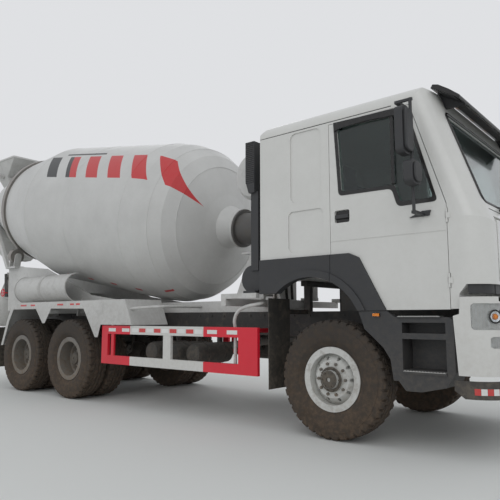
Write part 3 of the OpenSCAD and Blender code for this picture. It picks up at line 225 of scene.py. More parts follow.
NODE_MATERIALS = {
    "paint": ["cab_shell", "door_left", "door_right", "front_panel", "bumper", "side_guards"],
    "body": ["mudguards", "subframe", "drum_supports", "water_tank", "spare_chutes", "hopper", "ladder",
             "chute"],
    "drum": ["drum"],
    "red": ["guard_ends"],
    "plastic": ["cab_trim", "door_trim_left", "door_trim_right", "steps", "air_intake"],
    "frame": ["frame", "springs", "axles", "tanks", "front_bar", "chute_swivel", "knuckle_left",
              "knuckle_right", "tie_rod"],
    "cast": ["driveline", "drum_drive"],
    "rim": ["front_rim_left", "front_rim_right"],
    "rim_worn": ["rear_rims_1_left", "rear_rims_1_right", "rear_rims_2_left", "rear_rims_2_right"],
    "steel": ["drum_track", "roller_left", "roller_right"],
    "glass": ["windscreen", "door_glass_left", "door_glass_right"],
    "lens": ["lamps"],
    "fabric": ["cab_interior"],
    "rubber": ["mud_flaps"],
}
for key, names in NODE_MATERIALS.items():
    for n in names:
        mesh = NODES[n].data
        mesh.materials.clear()
        mesh.materials.append(M[key])


# Shapes.
class Piece:
    def __init__(self, name, body, material, slot=None):
        self.name, self.body, self.material, self.slot = name, body, material, slot
        self.bm = bmesh.new()

    def prism(self, points, axis, a0, a1):
        """points are the other two axes in the order of XYZ without axis."""
        def at(p, a):
            q = list(p)
            q.insert("xyz".index(axis), a)
            return q
        low = [self.bm.verts.new(at(p, a0)) for p in points]
        high = [self.bm.verts.new(at(p, a1)) for p in points]
        n = len(points)
        self.bm.faces.new(low[::-1])
        self.bm.faces.new(high)
        for i in range(n):
            self.bm.faces.new([low[i], low[(i + 1) % n], high[(i + 1) % n], high[i]])

    def box(self, x0, x1, y0, y1, z0, z1):
        self.prism([(x0, y0), (x1, y0), (x1, y1), (x0, y1)], "z", z0, z1)

    def rod(self, a, b, r, n=16, r2=None):
        """A round rod from a to b, its radius r at a and r2, if given, at b."""
        a, b = Vector(a), Vector(b)
        turn = (b - a).to_track_quat("Z", "Y").to_matrix().to_4x4()
        bmesh.ops.create_cone(self.bm, cap_ends=True, segments=n, radius1=r,
                              radius2=r if r2 is None else r2, depth=(b - a).length,
                              matrix=Matrix.Translation((a + b) / 2) @ turn)

    def tube(self, points, r, n=10, closed=False):
        """A round tube along a path."""
        pts = [Vector(p) for p in points]
        rings = []
        count = len(pts)
        normal = None
        for i, p in enumerate(pts):
            before = pts[i - 1] if closed or i else pts[i]
            after = pts[(i + 1) % count] if closed or i < count - 1 else pts[i]
            t = (after - before).normalized()
            if normal is None:
                normal = t.orthogonal().normalized()
            normal = (normal - t * normal.dot(t)).normalized()
            side = t.cross(normal)
            rings.append([self.bm.verts.new(p + r * (math.cos(k * math.tau / n) * normal +
                                                     math.sin(k * math.tau / n) * side)) for k in range(n)])
        pairs = list(zip(rings, rings[1:] + rings[:1])) if closed else list(zip(rings, rings[1:]))
        for a, b in pairs:
            for k in range(n):
                self.bm.faces.new([a[k], a[(k + 1) % n], b[(k + 1) % n], b[k]])
        if not closed:
            self.bm.faces.new(rings[0][::-1])
            self.bm.faces.new(rings[-1])

    def revolve(self, centre, axis, profile, n=48):
        """profile: (along, radius) pairs of a closed outline round the axis."""
        turn = Vector(axis).to_track_quat("Z", "Y").to_matrix()
        rings = []
        for k in range(n):
            a = k * math.tau / n
            ring = [Vector((r * math.cos(a), r * math.sin(a), s)) for s, r in profile]
            rings.append([self.bm.verts.new(Vector(centre) + turn @ q) for q in ring])
        m = len(profile)
        for a, b in zip(rings, rings[1:] + rings[:1]):
            for i in range(m):
                self.bm.faces.new([a[i], a[(i + 1) % m], b[(i + 1) % m], b[i]])

    def mirror_y(self):
        """Adds the same shapes on the truck's other side."""
        made = bmesh.ops.duplicate(self.bm, geom=self.bm.verts[:] + self.bm.edges[:] + self.bm.faces[:])
        verts = [g for g in made["geom"] if isinstance(g, bmesh.types.BMVert)]
        bmesh.ops.transform(self.bm, matrix=Matrix.Diagonal((1, -1, 1, 1)), verts=verts)
        bmesh.ops.reverse_faces(self.bm, faces=[g for g in made["geom"] if isinstance(g, bmesh.types.BMFace)])

    def finish(self, bevel=2.0, segments=2, smooth=40.0, both=False, replaces=()):
        if both:
            self.mirror_y()
        bmesh.ops.recalc_face_normals(self.bm, faces=self.bm.faces[:])
        self.bm.transform(Matrix.Translation((FRONT_AXLE_X, 0, 0)) @ Matrix.Scale(0.001, 4))
        mesh = bpy.data.meshes.new(self.name)
        self.bm.to_mesh(mesh)
        self.bm.free()
        mesh.materials.append(M[self.material])
        obj = bpy.data.objects.new(self.name, mesh)
        bpy.context.scene.collection.objects.link(obj)
        mesh.shade_smooth()
        mesh.set_sharp_from_angle(angle=math.radians(smooth))
        if bevel:
            m = obj.modifiers.new("edge", "BEVEL")
            m.width = bevel / 1000
            m.segments = segments
            m.limit_method = "ANGLE"
            m.angle_limit = math.radians(35)
            m.harden_normals = True
        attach(obj, self.body)
        if replaces:
            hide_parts(*replaces)


def rounded(x0, x1, y0, y1, r, n=6):
    """The outline of a rectangle with round corners."""
    pts = []
    middles = ((x1 - r, y1 - r, 0), (x0 + r, y1 - r, 90), (x0 + r, y0 + r, 180), (x1 - r, y0 + r, 270))
    for cx, cy, a in middles:
        for k in range(n + 1):
            t = math.radians(a + 90 * k / n)
            pts.append((cx + r * math.cos(t), cy + r * math.sin(t)))
    return pts


# Tyres with block treads, in place of the plain solids
TYRE_R = 562.5
PITCHES = 38
PHASES = (0.0, 0.05, 0.27, 0.32, 0.62, 0.66, 0.74, 0.78)
SIDEWALL = [(112.7, 254.3), (112.7, 304.3), (124, 318), (137.7, 340.6), (146, 356), (147.5, 362), (150, 363),
            (154.5, 383.7), (156.5, 426.9), (153.4, 476.2), (150.5, 492), (147, 494), (146, 508)]
# Places across the tread where the surface has points, and the grooves that run round the tyre
COLUMNS = (-142.0, -128.0, -100.0, -86.0, -82.0, -66.0, -62.0, -52.0, -48.0, -24.0, -8.0, -4.0,
           4.0, 8.0, 24.0, 48.0, 52.0, 62.0, 66.0, 82.0, 86.0, 100.0, 128.0, 142.0)
GROOVES = ((-62.0, -52.0), (-4.0, 4.0), (52.0, 62.0))
GROOVE_DEPTH = 14.0


def tread_depth(y, phase):
    """How deep the tread is cut at y, in mm, at a place within one pitch."""
    edge = abs(y)
    cut = 0.0
    if edge > 84 and 0.02 < phase < 0.30:
        cut = 15.0
    if 20 < edge < 84 and 0.64 < phase < 0.76:
        cut = 9.0
    return cut


def tyre(piece, y_mid, x, side):
    """One tyre, ring by ring round its axle."""
    rings = []
    for k in range(PITCHES):
        for phase in PHASES:
            a = (k + phase) * math.tau / PITCHES
            ring = [(-w, r) for w, r in SIDEWALL]
            zig = 5.0 * (1 if phase < 0.5 else -1)
            for y in COLUMNS:
                ph = phase if y * side > 0 else (phase + 0.5) % 1.0
                crown = TYRE_R - 9.0 * (y / 142.0) ** 2 - (14.0 if abs(y) > 135 else 0.0)
                cut = tread_depth(y, ph)
                if any(lo <= y <= hi for lo, hi in GROOVES):
                    cut = max(cut, GROOVE_DEPTH)
                shift = zig if abs(y) < 100 else 0.0
                ring.append((y + shift, crown - cut))
            ring += [(w, r) for w, r in reversed(SIDEWALL)]
            rings.append([piece.bm.verts.new((x + r * math.sin(a), y_mid + y, AXLE_Z + r * math.cos(a)))
                          for y, r in ring])
    m = len(rings[0])
    for a, b in zip(rings, rings[1:] + rings[:1]):
        for i in range(m):
            piece.bm.faces.new([a[i], a[(i + 1) % m], b[(i + 1) % m], b[i]])


def nuts(piece, x, y, side, r, count, size, high, start=0.0, stud=0.0):
    """A ring of wheel nuts on a face at y whose outer side is side."""
    for k in range(count):
        a = start + k * math.tau / count
        x_nut, z_nut = x + r * math.cos(a), AXLE_Z + r * math.sin(a)
        top = (x_nut, y + side * high, z_nut)
        piece.rod((x_nut, y, z_nut), top, size, 6)
        if stud:
            piece.rod(top, (x_nut, y + side * (high + stud), z_nut), size * 0.55, 8)


REAR_X = (-4325.0, -5675.0)
FRONT_TYRE_Y = 1011.0
FRONT_DISC_Y = 1119.0
TWIN_TYRES_Y = (740.0, 1090.0)
for name, side in SIDES:
    body = f"front_wheel_{name}"
    p = Piece(f"tyre_front_{name}", body, "tyre", "tyre")
    tyre(p, side * FRONT_TYRE_Y, 0.0, side)
    p.finish(bevel=0, smooth=28, replaces=[f"front_tyre_{name}"])
    y = side * FRONT_DISC_Y
    p = Piece(f"wheel_nuts_front_{name}", body, "rim_worn", "rim_worn")
    nuts(p, 0.0, y, side, 147.0, 10, 15.0, 22.0, stud=10.0)
    p.finish(bevel=1.0)
    p = Piece(f"hub_front_{name}", body, "hub", "frame_paint")
    p.revolve((0, side * 1141.2, AXLE_Z), (0, side, 0), [(0, 88), (0, 117), (5, 117), (9, 112), (9, 90)])
    nuts(p, 0.0, y + side * 43.2, side, 102.0, 10, 8.0, 10.0)
    p.revolve((0, side * 1179.2, AXLE_Z), (0, side, 0), [(0, 20), (0, 85), (9, 78), (15, 40), (15, 20)])
    nuts(p, 0.0, y + side * 76.0, side, 66.0, 6, 7.0, 12.0)
    p.finish(bevel=1.0)
    for i, x in enumerate(REAR_X):
        body = f"rear_wheels_{i + 1}_{name}"
        p = Piece(f"tyres_rear_{i + 1}_{name}", body, "tyre", "tyre")
        for mid in TWIN_TYRES_Y:
            tyre(p, side * mid, x, side)
        p.finish(bevel=0, smooth=28, replaces=[f"rear_tyres_{i + 1}_{name}"])
        p = Piece(f"wheel_nuts_rear_{i + 1}_{name}", body, "hub", "frame_paint")
        nuts(p, x, side * 929.2, side, 156.0, 10, 15.0, 26.0, stud=12.0)
        nuts(p, x, side * 1080.2, side, 95.0, 10, 8.0, 12.0)
        p.revolve((x, side * 1120.2, AXLE_Z), (0, side, 0), [(0, 15), (0, 79), (6, 74), (10, 50), (10, 15)])
        p.finish(bevel=1.0)

# Drum: weld seams, the band at its mouth and the bolts of its front flange
AXIS = Vector((-math.cos(DRUM_TILT), 0, math.sin(DRUM_TILT)))
UP = Vector((math.sin(DRUM_TILT), 0, math.cos(DRUM_TILT)))
HEAD = Vector((-2499, 0, 2442))


def on_drum(s, r, angle):
    """A point at s along the axis, r from it, angle from the truck's right side upwards."""
    return HEAD + AXIS * s + UP * (r * math.sin(angle)) - Vector((0, r * math.cos(angle), 0))


p = Piece("drum_seams", "drum", "drum", "drum_paint")
for s, r in ((800, 1190), (2200, 1190), (3400, 1190), (20, 840), (300, 1100)):
    p.revolve(HEAD + AXIS * s, AXIS, [(-7, r - 3), (-3, r + 3), (3, r + 3), (7, r - 3)], 120)
p.revolve(HEAD + AXIS * 5690, AXIS, [(-30, 585), (-30, 604), (28, 600), (28, 585)], 96)
p.finish(bevel=0)
p = Piece("drum_flange_bolts", "drum", "hub", "cast_parts")
for k in range(24):
    a = k * math.tau / 24
    base = on_drum(-448, 240, a)
    p.rod(base + AXIS * 38, base + AXIS * 56, 13, 6)
p.finish(bevel=1.0)

# Bent white tubes over the side guards
p = Piece("bent_tubes", "chassis", "body", "paint_white")


def smooth_path(points, n=6):
    """Catmull-Rom through the points."""
    pts = [Vector(q) for q in points]
    pts = [pts[0] * 2 - pts[1]] + pts + [pts[-1] * 2 - pts[-2]]
    out = []
    for a, b, c, d in zip(pts, pts[1:], pts[2:], pts[3:]):
        for k in range(n):
            t = k / n
            out.append(0.5 * (2 * b + (c - a) * t + (2 * a - 5 * b + 4 * c - d) * t * t +
                              (3 * b - a - 3 * c + d) * t ** 3))
    return out + [pts[-2]]


FRONT_BEND = [(-1190, 1160, 560), (-1190, 1160, 800), (-1188, 1162, 1000), (-1180, 1185, 1120),
              (-1120, 1190, 1215), (-1010, 1180, 1262), (-880, 1120, 1290), (-872, 1040, 1300)]
REAR_BEND = [(-3322, 1205, 1036), (-3290, 1200, 1120), (-3200, 1195, 1200), (-3024, 1190, 1254),
             (-2700, 1170, 1272), (-2500, 1100, 1280), (-2450, 800, 1285), (-2450, 431, 1285)]
for bend in (FRONT_BEND, REAR_BEND):
    p.tube(smooth_path(bend), 19, 12)
p.finish(bevel=0, both=True)

# Reflective tape on the guards, mudguards and the lower bars at front and rear
GUARD_TAPE_Y = (1224.5, 1227)
MUDGUARD_TAPE_Y = (1249.5, 1252)
# Middle of the round corners of the bumper and of the bar under it
CORNER = (1290.0, 935.0)
white = Piece("tape_white_parts", "chassis", "tape_white", "paint_white")
red = Piece("tape_red_parts", "chassis", "tape_red", "paint_red")


def tape(k):
    """White and red in turn."""
    return red if k % 2 else white


for k in range(9):
    x = -2890 + k * 142
    tape(k).box(x, x + 120, *GUARD_TAPE_Y, 960, 1008)
for x in (-3380, -3095, -1555, -1258):
    white.box(x, x + 150, *GUARD_TAPE_Y, 962, 1006)
for x0, x1 in ((-5700, -5520), (-5390, -5260), (-4624, -4468), (-4290, -4190), (-4140, -4040)):
    red.box(x0, x1, *MUDGUARD_TAPE_Y, 1322, 1346)
for k in range(6):
    turn_from, turn_to = (math.radians(14 + 11 * k + d) for d in (0, 10.6))
    face = [(CORNER[0] + r * math.cos(a), CORNER[1] + r * math.sin(a)) for r, a in
            ((249.5, turn_from), (249.5, turn_to), (252, turn_to), (252, turn_from))]
    tape(k).prism(face, "z", 535, 585)
white.mirror_y()
red.mirror_y()
for k in range(18):
    y_front, y_rear = -900 + k * 100, -680 + k * 76
    tape(k).box(1539.5, 1542, y_front + 2, y_front + 98, 535, 585)
    tape(k).box(-7502.5, -7499.5, y_rear, y_rear + 74, 552, 602)
white.finish(bevel=0.5)
red.finish(bevel=0.5)

# Bolts and rivets of the chassis
p = Piece("frame_bolts", "chassis", "frame", "frame_paint")
for x in range(-7300, 1200, 220):
    if abs(x + 5000) > 240:
        p.rod((x, 429.5, 1165), (x, 440, 1165), 11, 6)
        p.rod((x + 60, 429.5, 985), (x + 60, 440, 985), 11, 6)
p.finish(bevel=0.8, both=True)
p = Piece("body_bolts", "chassis", "body", "paint_white")
for x in (-5900, -5300, -4880, -4700, -3960, -3700, -3300, -3000):
    p.rod((x, 1249.5, 1298), (x, 1254, 1298), 9, 8)
for x in range(-7300, -3900, 240):
    top = 1640 if x < -5000 else 1360
    p.rod((x, 613.5, 1300), (x, 621, 1300), 11, 6)
    p.rod((x, 613.5, top), (x, 621, top), 11, 6)
for x in (-6000, -5200, -4400):
    p.box(x - 8, x + 8, 613.5, 640, 1290, 1400)
p.finish(bevel=1.0, both=True)

# Air and brake hoses, cables and brake chambers under the frame
p = Piece("air_lines", "chassis", "rubber", "flap_rubber")
for j, (y, z) in enumerate(((360, 1120), (378, 1098), (345, 1085))):
    p.tube(smooth_path([(x, y + 8 * math.sin(x / 190 + j), z + 10 * math.sin(x / 260 + 2 * j))
                        for x in range(-7000, 900, 260)], 3), 9, 8)
for x in REAR_X:
    p.tube(smooth_path([(x + 330, 380, 1100), (x + 320, 330, 900), (x + 270, 300, 720),
                        (x + 205, 300, 640)]), 10, 8)
p.finish(bevel=0, both=True)
p = Piece("brake_chambers", "chassis", "cast", "cast_parts")
for x in REAR_X:
    p.rod((x + 68, 300, 640), (x + 150, 300, 655), 78, 24)
    p.rod((x + 150, 300, 655), (x + 215, 300, 667), 70, 24, 55)
p.finish(bevel=5.0, segments=3, both=True)

# Steps: bright treads with raised ribs
RIB_PITCH = 26
p = Piece("step_treads", "chassis", "bright", "frame_paint")
for x0, x1, y0, y1, z in ((745, 1115, 1032, 1184, 686), (705, 1080, 1052, 1184, 1150)):
    p.box(x0, x1, y0, y1, z + 0.2, z + 4)
    for k in range((x1 - x0) // RIB_PITCH):
        x = x0 + RIB_PITCH * k
        p.box(x + 8, x + 18, y0 + 8, y1 - 8, z + 3.5, z + 8)
p.finish(bevel=0.8, both=True)


# Window rubbers, handle pockets, rain guards and mirror glass, which ride on the doors
def corners_cut(points, r, n=4):
    """The outline with each corner replaced by a short curve."""
    out = []
    count = len(points)
    for i, q in enumerate(points):
        b = Vector(q)
        a, c = Vector(points[i - 1]), Vector(points[(i + 1) % count])
        start, end = b + (a - b).normalized() * r, b + (c - b).normalized() * r
        for k in range(n + 1):
            t = k / n
            out.append((1 - t) ** 2 * start + 2 * t * (1 - t) * b + t * t * end)
    return out


for name, side in SIDES:
    body = f"door_{name}"
    p = Piece(f"window_rubber_{name}", body, "black", "dark_plastic")
    outer = corners_cut([(85, 3026), (128, 2312), (678, 2302), (728, 2130), (1096, 2132), (852, 3010)], 45)
    inner = corners_cut([(123, 2990), (162, 2348), (710, 2336), (760, 2170), (1056, 2171), (828, 2973)], 30)
    y0, y1 = side * 1149.0, side * 1154.0
    rings = [[p.bm.verts.new((q[0], y, q[1])) for q in line] for line, y in
             ((outer, y0), (outer, y1), (inner, y1), (inner, y0))]
    for a, b in zip(rings, rings[1:] + rings[:1]):
        for k in range(len(a)):
            p.bm.faces.new([a[k], a[(k + 1) % len(a)], b[(k + 1) % len(a)], b[k]])
    p.box(680, 712, side * 1128, side * 1152, 2345, 2985)
    p.finish(bevel=1.5)
    p = Piece(f"handle_pocket_{name}", body, "black", "dark_plastic")
    p.prism(rounded(82, 238, 2051, 2168, 18), "y", side * 1125.2, side * 1127)
    p.finish(bevel=0.5)
    p = Piece(f"rain_guard_{name}", body, "black", "dark_plastic")
    p.prism([(90, 3050), (830, 3036), (850, 2985), (835, 2930), (820, 2960), (700, 2978), (440, 2990),
             (160, 2978), (95, 2960)], "y", side * 1156, side * 1166)
    p.finish(bevel=3.0, segments=3)
    p = Piece(f"mirror_glass_{name}", body, "chrome", "dark_plastic")
    for x, y0, y1, z0, z1 in ((884.5, 1330, 1485, 2530, 2908), (944.5, 1330, 1475, 2258, 2432)):
        lo, hi = sorted((side * y0, side * y1))
        p.prism(rounded(lo, hi, z0, z1, 30), "x", x - 3, x + 2)
    p.finish(bevel=1.0)
    p = Piece(f"mirror_shell_{name}", body, "plastic", "dark_plastic")
    for x0, x1, y0, y1, z0, z1 in ((952, 985, 1335, 1480, 2535, 2905), (1022, 1046, 1332, 1474, 2260, 2430)):
        lo, hi = sorted((side * y0, side * y1))
        p.prism(rounded(lo, hi, z0, z1, 50), "x", x0, x1)
    p.finish(bevel=20.0, segments=4)

# Front of the cab: windscreen rubber, wipers, grille backing, seams and marker lamps
SLOPE = math.atan2(320, 920)


def on_screen(up, y, out=0.0):
    """A point on the sloping screen: up it from its foot, across, and out of it."""
    return Vector((1440 - math.sin(SLOPE) * up + math.cos(SLOPE) * out, y,
                   2060 + math.cos(SLOPE) * up + math.sin(SLOPE) * out))


p = Piece("windscreen_rubber", "cab", "black", "dark_plastic")
p.tube([on_screen(up, y, -3) for y, up in rounded(-984, 984, 60, 954, 64, 8)], 13, 10, closed=True)
p.finish(bevel=0)
p = Piece("wipers", "cab", "black", "dark_plastic")
WIPER_REACH = 620
for y in (-560, 150):
    p.rod(on_screen(20, y, 0), on_screen(20, y, 34), 22, 16)
    p.tube([on_screen(20, y, 30), on_screen(70, y + 60, 34),
            on_screen(120, y + WIPER_REACH * 0.55, 24)], 9, 8)
    p.tube([on_screen(60, y + 20, 12), on_screen(120, y + WIPER_REACH * 0.5, 14),
            on_screen(150, y + WIPER_REACH, 12)], 8, 8)
p.finish(bevel=0)
p = Piece("grille_backing", "cab", "black", "dark_plastic")
p.box(1441, 1447, -878, 878, 1448, 1955)
p.finish(bevel=0.5)
p = Piece("grille_slats", "front_panel", "black", "dark_plastic")
for z in range(1474, 1760, 52):
    p.prism([(1489.5, z), (1489.5, z + 24), (1496, z + 20), (1500, z + 8), (1496, z)], "y", -700, 700)
p.box(1489.5, 1494, -720, -700, 1470, 1756)
p.box(1489.5, 1494, 700, 720, 1470, 1756)
p.box(1489.5, 1493, -640, 640, 1830, 1905)
p.finish(bevel=1.5)
p = Piece("visor_hood", "cab", "black", "dark_plastic")
p.prism([(1047, 3168), (1068, 3200), (1118, 3186), (1210, 3122), (1300, 3046), (1303, 3034), (1292, 3018),
         (1200, 3078), (1110, 3136)], "y", -1092, 1092)
for y in (-760, -380, 0, 380, 760):
    p.rod((1150, y, 3158), (1150, y, 3178), 26, 16)
p.finish(bevel=9.0, segments=4)
p = Piece("cab_marker_lamps", "cab", "orange", "lamp_lens")
for y in (-700, -230, 230, 700):
    p.box(925, 985, y - 35, y + 35, 3185, 3240)
p.finish(bevel=12.0, segments=3)
p = Piece("cab_seams", "cab", "black", "dark_plastic")
p.tube([(-842, 1148, 3074), (-400, 1149, 3074), (700, 1149, 3074)], 3.2, 6)
p.tube([(-845, 1100, 3074), (-845, 0, 3074)], 3.2, 6)
p.tube([on_screen(-4, 920, 0), on_screen(-4, 0, 0)], 4, 6)
p.finish(bevel=0, both=True)

# Bumper: head lamps, fog lamps, indicators, blank plates; then the rear lamps
BUMPER_CORNER_R = 260


def bumper_point(angle, z, out=0.0):
    """On the bumper's round corner, angle from straight ahead to the side."""
    a = math.radians(angle)
    r = BUMPER_CORNER_R + out
    return Vector((CORNER[0] + r * math.cos(a), CORNER[1] + r * math.sin(a), z))


def outward(angle):
    return Vector((math.cos(math.radians(angle)), math.sin(math.radians(angle)), 0))


lights = (("headlamp_bezels", "black"), ("headlamp_reflectors", "chrome"), ("headlamp_glasses", "lens"))
parts = {name: Piece(name, "chassis", key, "lamp_lens") for name, key in lights}
places = [(Vector((1538.5, 822, 1150)), Vector((1, 0, 0)), 76),
          (bumper_point(14, 1150, -20), outward(14), 70),
          (bumper_point(11, 945, -14), outward(11), 38),
          (bumper_point(38, 1150, -3), outward(38), 52)]
for at, out, r in places:
    bezel = [(-6, r), (5, r + 4), (8, r), (6, r - 7), (-6, r - 9)]
    reflector = [(3.5, r - 8), (1.5, r * 0.6), (1.0, r * 0.3), (0.5, 2), (-3, 2), (-3, r - 8)]
    glass = [(3.6, r - 7), (7, r * 0.7), (9.5, r * 0.35), (10.2, 1), (8.8, 1), (5.4, r * 0.7),
             (2.2, r - 7)]
    parts["headlamp_bezels"].revolve(at, out, bezel, 40)
    parts["headlamp_reflectors"].revolve(at, out, reflector, 40)
    parts["headlamp_glasses"].revolve(at, out, glass, 40)
for name, key in lights:
    parts[name].finish(bevel=0, both=True)
p = Piece("indicators", "chassis", "orange", "lamp_lens")
p.revolve(bumper_point(38, 1150, -1), outward(38), [(-3, 1), (-3, 26), (4, 24), (8, 14), (9.5, 1)], 24)
p.box(472, 538, 1184, 1190, 1155, 1180)
p.finish(bevel=1.5, both=True)
p = Piece("front_plate", "chassis", "bright", "paint_white")
p.box(1532, 1535, -220, 220, 859, 999)
p.finish(bevel=2.0)
p = Piece("rear_plate", "chassis", "bright", "paint_white")
p.box(-7505, -7501, -220, 220, 648, 788)
p.rod((-7507, -150, 770), (-7504, -150, 770), 6, 8)
p.rod((-7507, 150, 770), (-7504, 150, 770), 6, 8)
p.finish(bevel=1.0)
for name, key, y0, y1 in (("rear_lamp_red", "red_lens", 765, 940), ("rear_lamp_orange", "orange", 944, 1030),
                          ("rear_lamp_white", "lens", 1034, 1115)):
    p = Piece(name, "chassis", key, "lamp_lens")
    p.box(-7547, -7539, y0, y1, 526, 614)
    for k in range(6):
        p.box(-7550, -7546, y0 + 8, y1 - 8, 534 + 13 * k, 540 + 13 * k)
    p.finish(bevel=1.5, both=True)

# Tanks: fuel cap and straps; air tank valves
p = Piece("tank_fittings", "chassis", "steel", "cast_parts")
p.rod((-1450, 700, 1148), (-1450, 700, 1178), 55, 24)
for x in (-2100, -1560):
    p.box(x, x + 45, 1118, 1123, 560, 1090)
    p.box(x, x + 45, 560, 1060, 1148, 1153)
for x in (-2700, -2320, -1950):
    p.rod((x, -1004, 715), (x, -1026, 715), 16, 12)
p.finish(bevel=1.5)

# Air intake: slats over its outer and rear sides
p = Piece("intake_slats", "chassis", "black", "dark_plastic")
for z in range(2640, 3070, 22):
    p.box(-1046, -938, -1153.5, -1149, z, z + 9)
    p.box(-1059.5, -1054, -1140, -970, z, z + 9)
p.box(-1052, -933, -1152.5, -1149, 2618, 2628)
p.box(-1052, -933, -1152.5, -1149, 3072, 3082)
p.finish(bevel=1.0)

# Water tank: straps, filler, vent and pipe
p = Piece("water_tank_fittings", "chassis", "steel", "cast_parts")
for y in (-400, 380):
    p.revolve((-1190, y, 2810), (0, 1, 0), [(-25, 299), (-25, 304), (25, 304), (25, 299)], 72)
p.rod((-1190, 100, 3100), (-1190, 100, 3150), 70, 24)
p.rod((-1190, -640, 3070), (-1190, -640, 3125), 30, 16)
p.tube(smooth_path([(-1190, -300, 2520), (-1190, -300, 2300), (-1210, -380, 1900),
                    (-1200, -440, 1360)]), 22, 12)
p.finish(bevel=2.0)

# Drum drive hoses
p = Piece("drive_hoses", "chassis", "rubber", "flap_rubber")
for k, y in enumerate((-90, -30, 40, 100)):
    p.tube(smooth_path([(-1605, y, 2200 - 20 * k), (-1500, y * 1.4, 2200), (-1420, y * 1.8, 2080 - 15 * k),
                        (-1405, y * 1.9, 1800), (-1400, y * 2, 1500), (-1390, y * 2, 1376)]), 17, 10)
p.finish(bevel=0)

# Red hand wheel that locks the chute's swivel
p = Piece("swivel_lock", "chute_swivel", "red", "paint_red")
p.rod((-8075, -300, 1640), (-8075, -390, 1640), 12, 12)
p.revolve((-8075, -392, 1640), (0, -1, 0), [(-8, 70), (0, 82), (8, 70), (0, 62)], 32)
p.rod((-8075, -388, 1570), (-8075, -388, 1710), 8, 8)
p.rod((-8145, -388, 1640), (-8005, -388, 1640), 8, 8)
p.finish(bevel=0)

# Ribs on the cab's rear wall
p = Piece("cab_rear_parts", "cab", "plastic", "dark_plastic")
for z in range(1700, 2500, 130):
    p.box(-858, -846, -700, 700, z, z + 36)
p.finish(bevel=4.0)


# Stage, light and camera
SKY = (0.74, 0.75, 0.77, 1.0)
FLOOR_HALF = 90
FADE_START, FADE_END = 7.0, 45.0


def plain(name, color, rough=0.9):
    mat = bpy.data.materials.new(name)
    mat.use_nodes = True
    b = mat.node_tree.nodes["Principled BSDF"]
    b.inputs["Base Color"].default_value = rgba(color)
    b.inputs["Roughness"].default_value = rough
    return mat


floor_mesh = bpy.data.meshes.new("floor")
floor_mesh.from_pydata([(-FLOOR_HALF, -FLOOR_HALF, 0), (FLOOR_HALF, -FLOOR_HALF, 0),
                        (FLOOR_HALF, FLOOR_HALF, 0), (-FLOOR_HALF, FLOOR_HALF, 0)], [], [(0, 1, 2, 3)])
floor = bpy.data.objects.new("floor", floor_mesh)
bpy.context.scene.collection.objects.link(floor)
floor_material = plain("floor_pale", (0.70, 0.71, 0.69))
floor.data.materials.append(floor_material)
# Far from the truck the floor fades into the sky, so that no horizon shows
fade = floor_material.node_tree
place = fade.nodes.new("ShaderNodeTexCoord")
away = fade.nodes.new("ShaderNodeVectorMath")
away.operation = "LENGTH"
fade.links.new(place.outputs["Object"], away.inputs[0])
share = fade.nodes.new("ShaderNodeMapRange")
share.interpolation_type = "SMOOTHSTEP"
share.inputs["From Min"].default_value = FADE_START
share.inputs["From Max"].default_value = FADE_END
fade.links.new(away.outputs["Value"], share.inputs["Value"])
far = fade.nodes.new("ShaderNodeEmission")
far.inputs["Color"].default_value = SKY
blend = fade.nodes.new("ShaderNodeMixShader")
fade.links.new(share.outputs["Result"], blend.inputs[0])
fade.links.new(fade.nodes["Material Output"].inputs["Surface"].links[0].from_socket, blend.inputs[1])
fade.links.new(far.outputs[0], blend.inputs[2])
fade.links.new(blend.outputs[0], fade.nodes["Material Output"].inputs["Surface"])

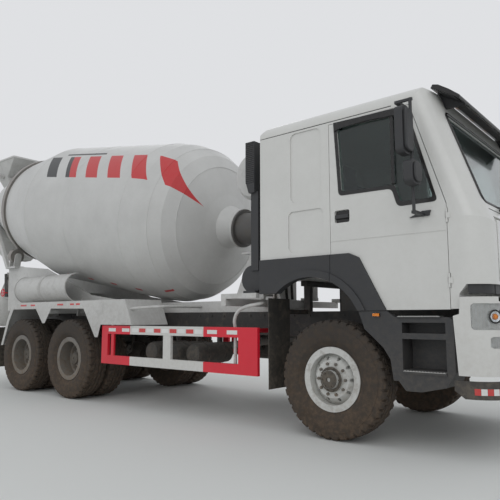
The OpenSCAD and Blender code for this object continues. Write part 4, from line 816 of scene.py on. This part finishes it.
world = bpy.data.worlds.new("soft_sky")
bpy.context.scene.world = world
world.use_nodes = True
tree = world.node_tree
tree.nodes["Background"].inputs["Color"].default_value = (0.95, 0.97, 1.0, 1.0)
tree.nodes["Background"].inputs["Strength"].default_value = 0.74
seen = tree.nodes.new("ShaderNodeBackground")
seen.inputs["Color"].default_value = SKY
seen.inputs["Strength"].default_value = 1.0
path = tree.nodes.new("ShaderNodeLightPath")
any_ray = tree.nodes.new("ShaderNodeMath")
any_ray.operation = "MAXIMUM"
tree.links.new(path.outputs["Is Camera Ray"], any_ray.inputs[0])
tree.links.new(path.outputs["Is Transmission Ray"], any_ray.inputs[1])
choose = tree.nodes.new("ShaderNodeMixShader")
tree.links.new(any_ray.outputs[0], choose.inputs[0])
tree.links.new(tree.nodes["Background"].outputs[0], choose.inputs[1])
tree.links.new(seen.outputs[0], choose.inputs[2])
tree.links.new(choose.outputs[0], tree.nodes["World Output"].inputs["Surface"])


def area_light(name, place, size, power):
    """A round lamp that looks at the truck."""
    data = bpy.data.lights.new(name, "AREA")
    data.shape, data.size, data.energy = "DISK", size, power
    lamp = bpy.data.objects.new(name, data)
    bpy.context.scene.collection.objects.link(lamp)
    lamp.location = place
    lamp.rotation_euler = (Vector((0, 0, 1.5)) - Vector(place)).to_track_quat("-Z", "Y").to_euler()


area_light("sky_light", (15.0, -20.0, 15.0), 16.0, 800.0)
area_light("fill_light", (-18.0, 16.0, 15.0), 16.0, 560.0)

camera = bpy.data.objects.new("camera", bpy.data.cameras.new("camera"))
bpy.context.scene.collection.objects.link(camera)
bpy.context.scene.camera = camera
YAW, PITCH, ROLL = (math.radians(v) for v in (39.78, 6.94, -0.07))
camera.data.sensor_width = 36.0
camera.data.lens = 39.607
camera.data.clip_end = 500.0
ahead = Vector((-math.sin(YAW) * math.cos(PITCH), math.cos(YAW) * math.cos(PITCH), math.sin(PITCH)))
right = Vector((math.cos(YAW), math.sin(YAW), 0))
up = right.cross(ahead)
right, up = (right * math.cos(ROLL) + up * math.sin(ROLL)), (up * math.cos(ROLL) - right * math.sin(ROLL))
turn = Matrix((right, up, -ahead)).transposed().to_4x4()
camera.matrix_world = Matrix.Translation((2.813 + FRONT_AXLE_X, -5.718, 1.150)) @ turn

bpy.context.scene.view_settings.view_transform = "Standard"
bpy.context.view_layer.update()
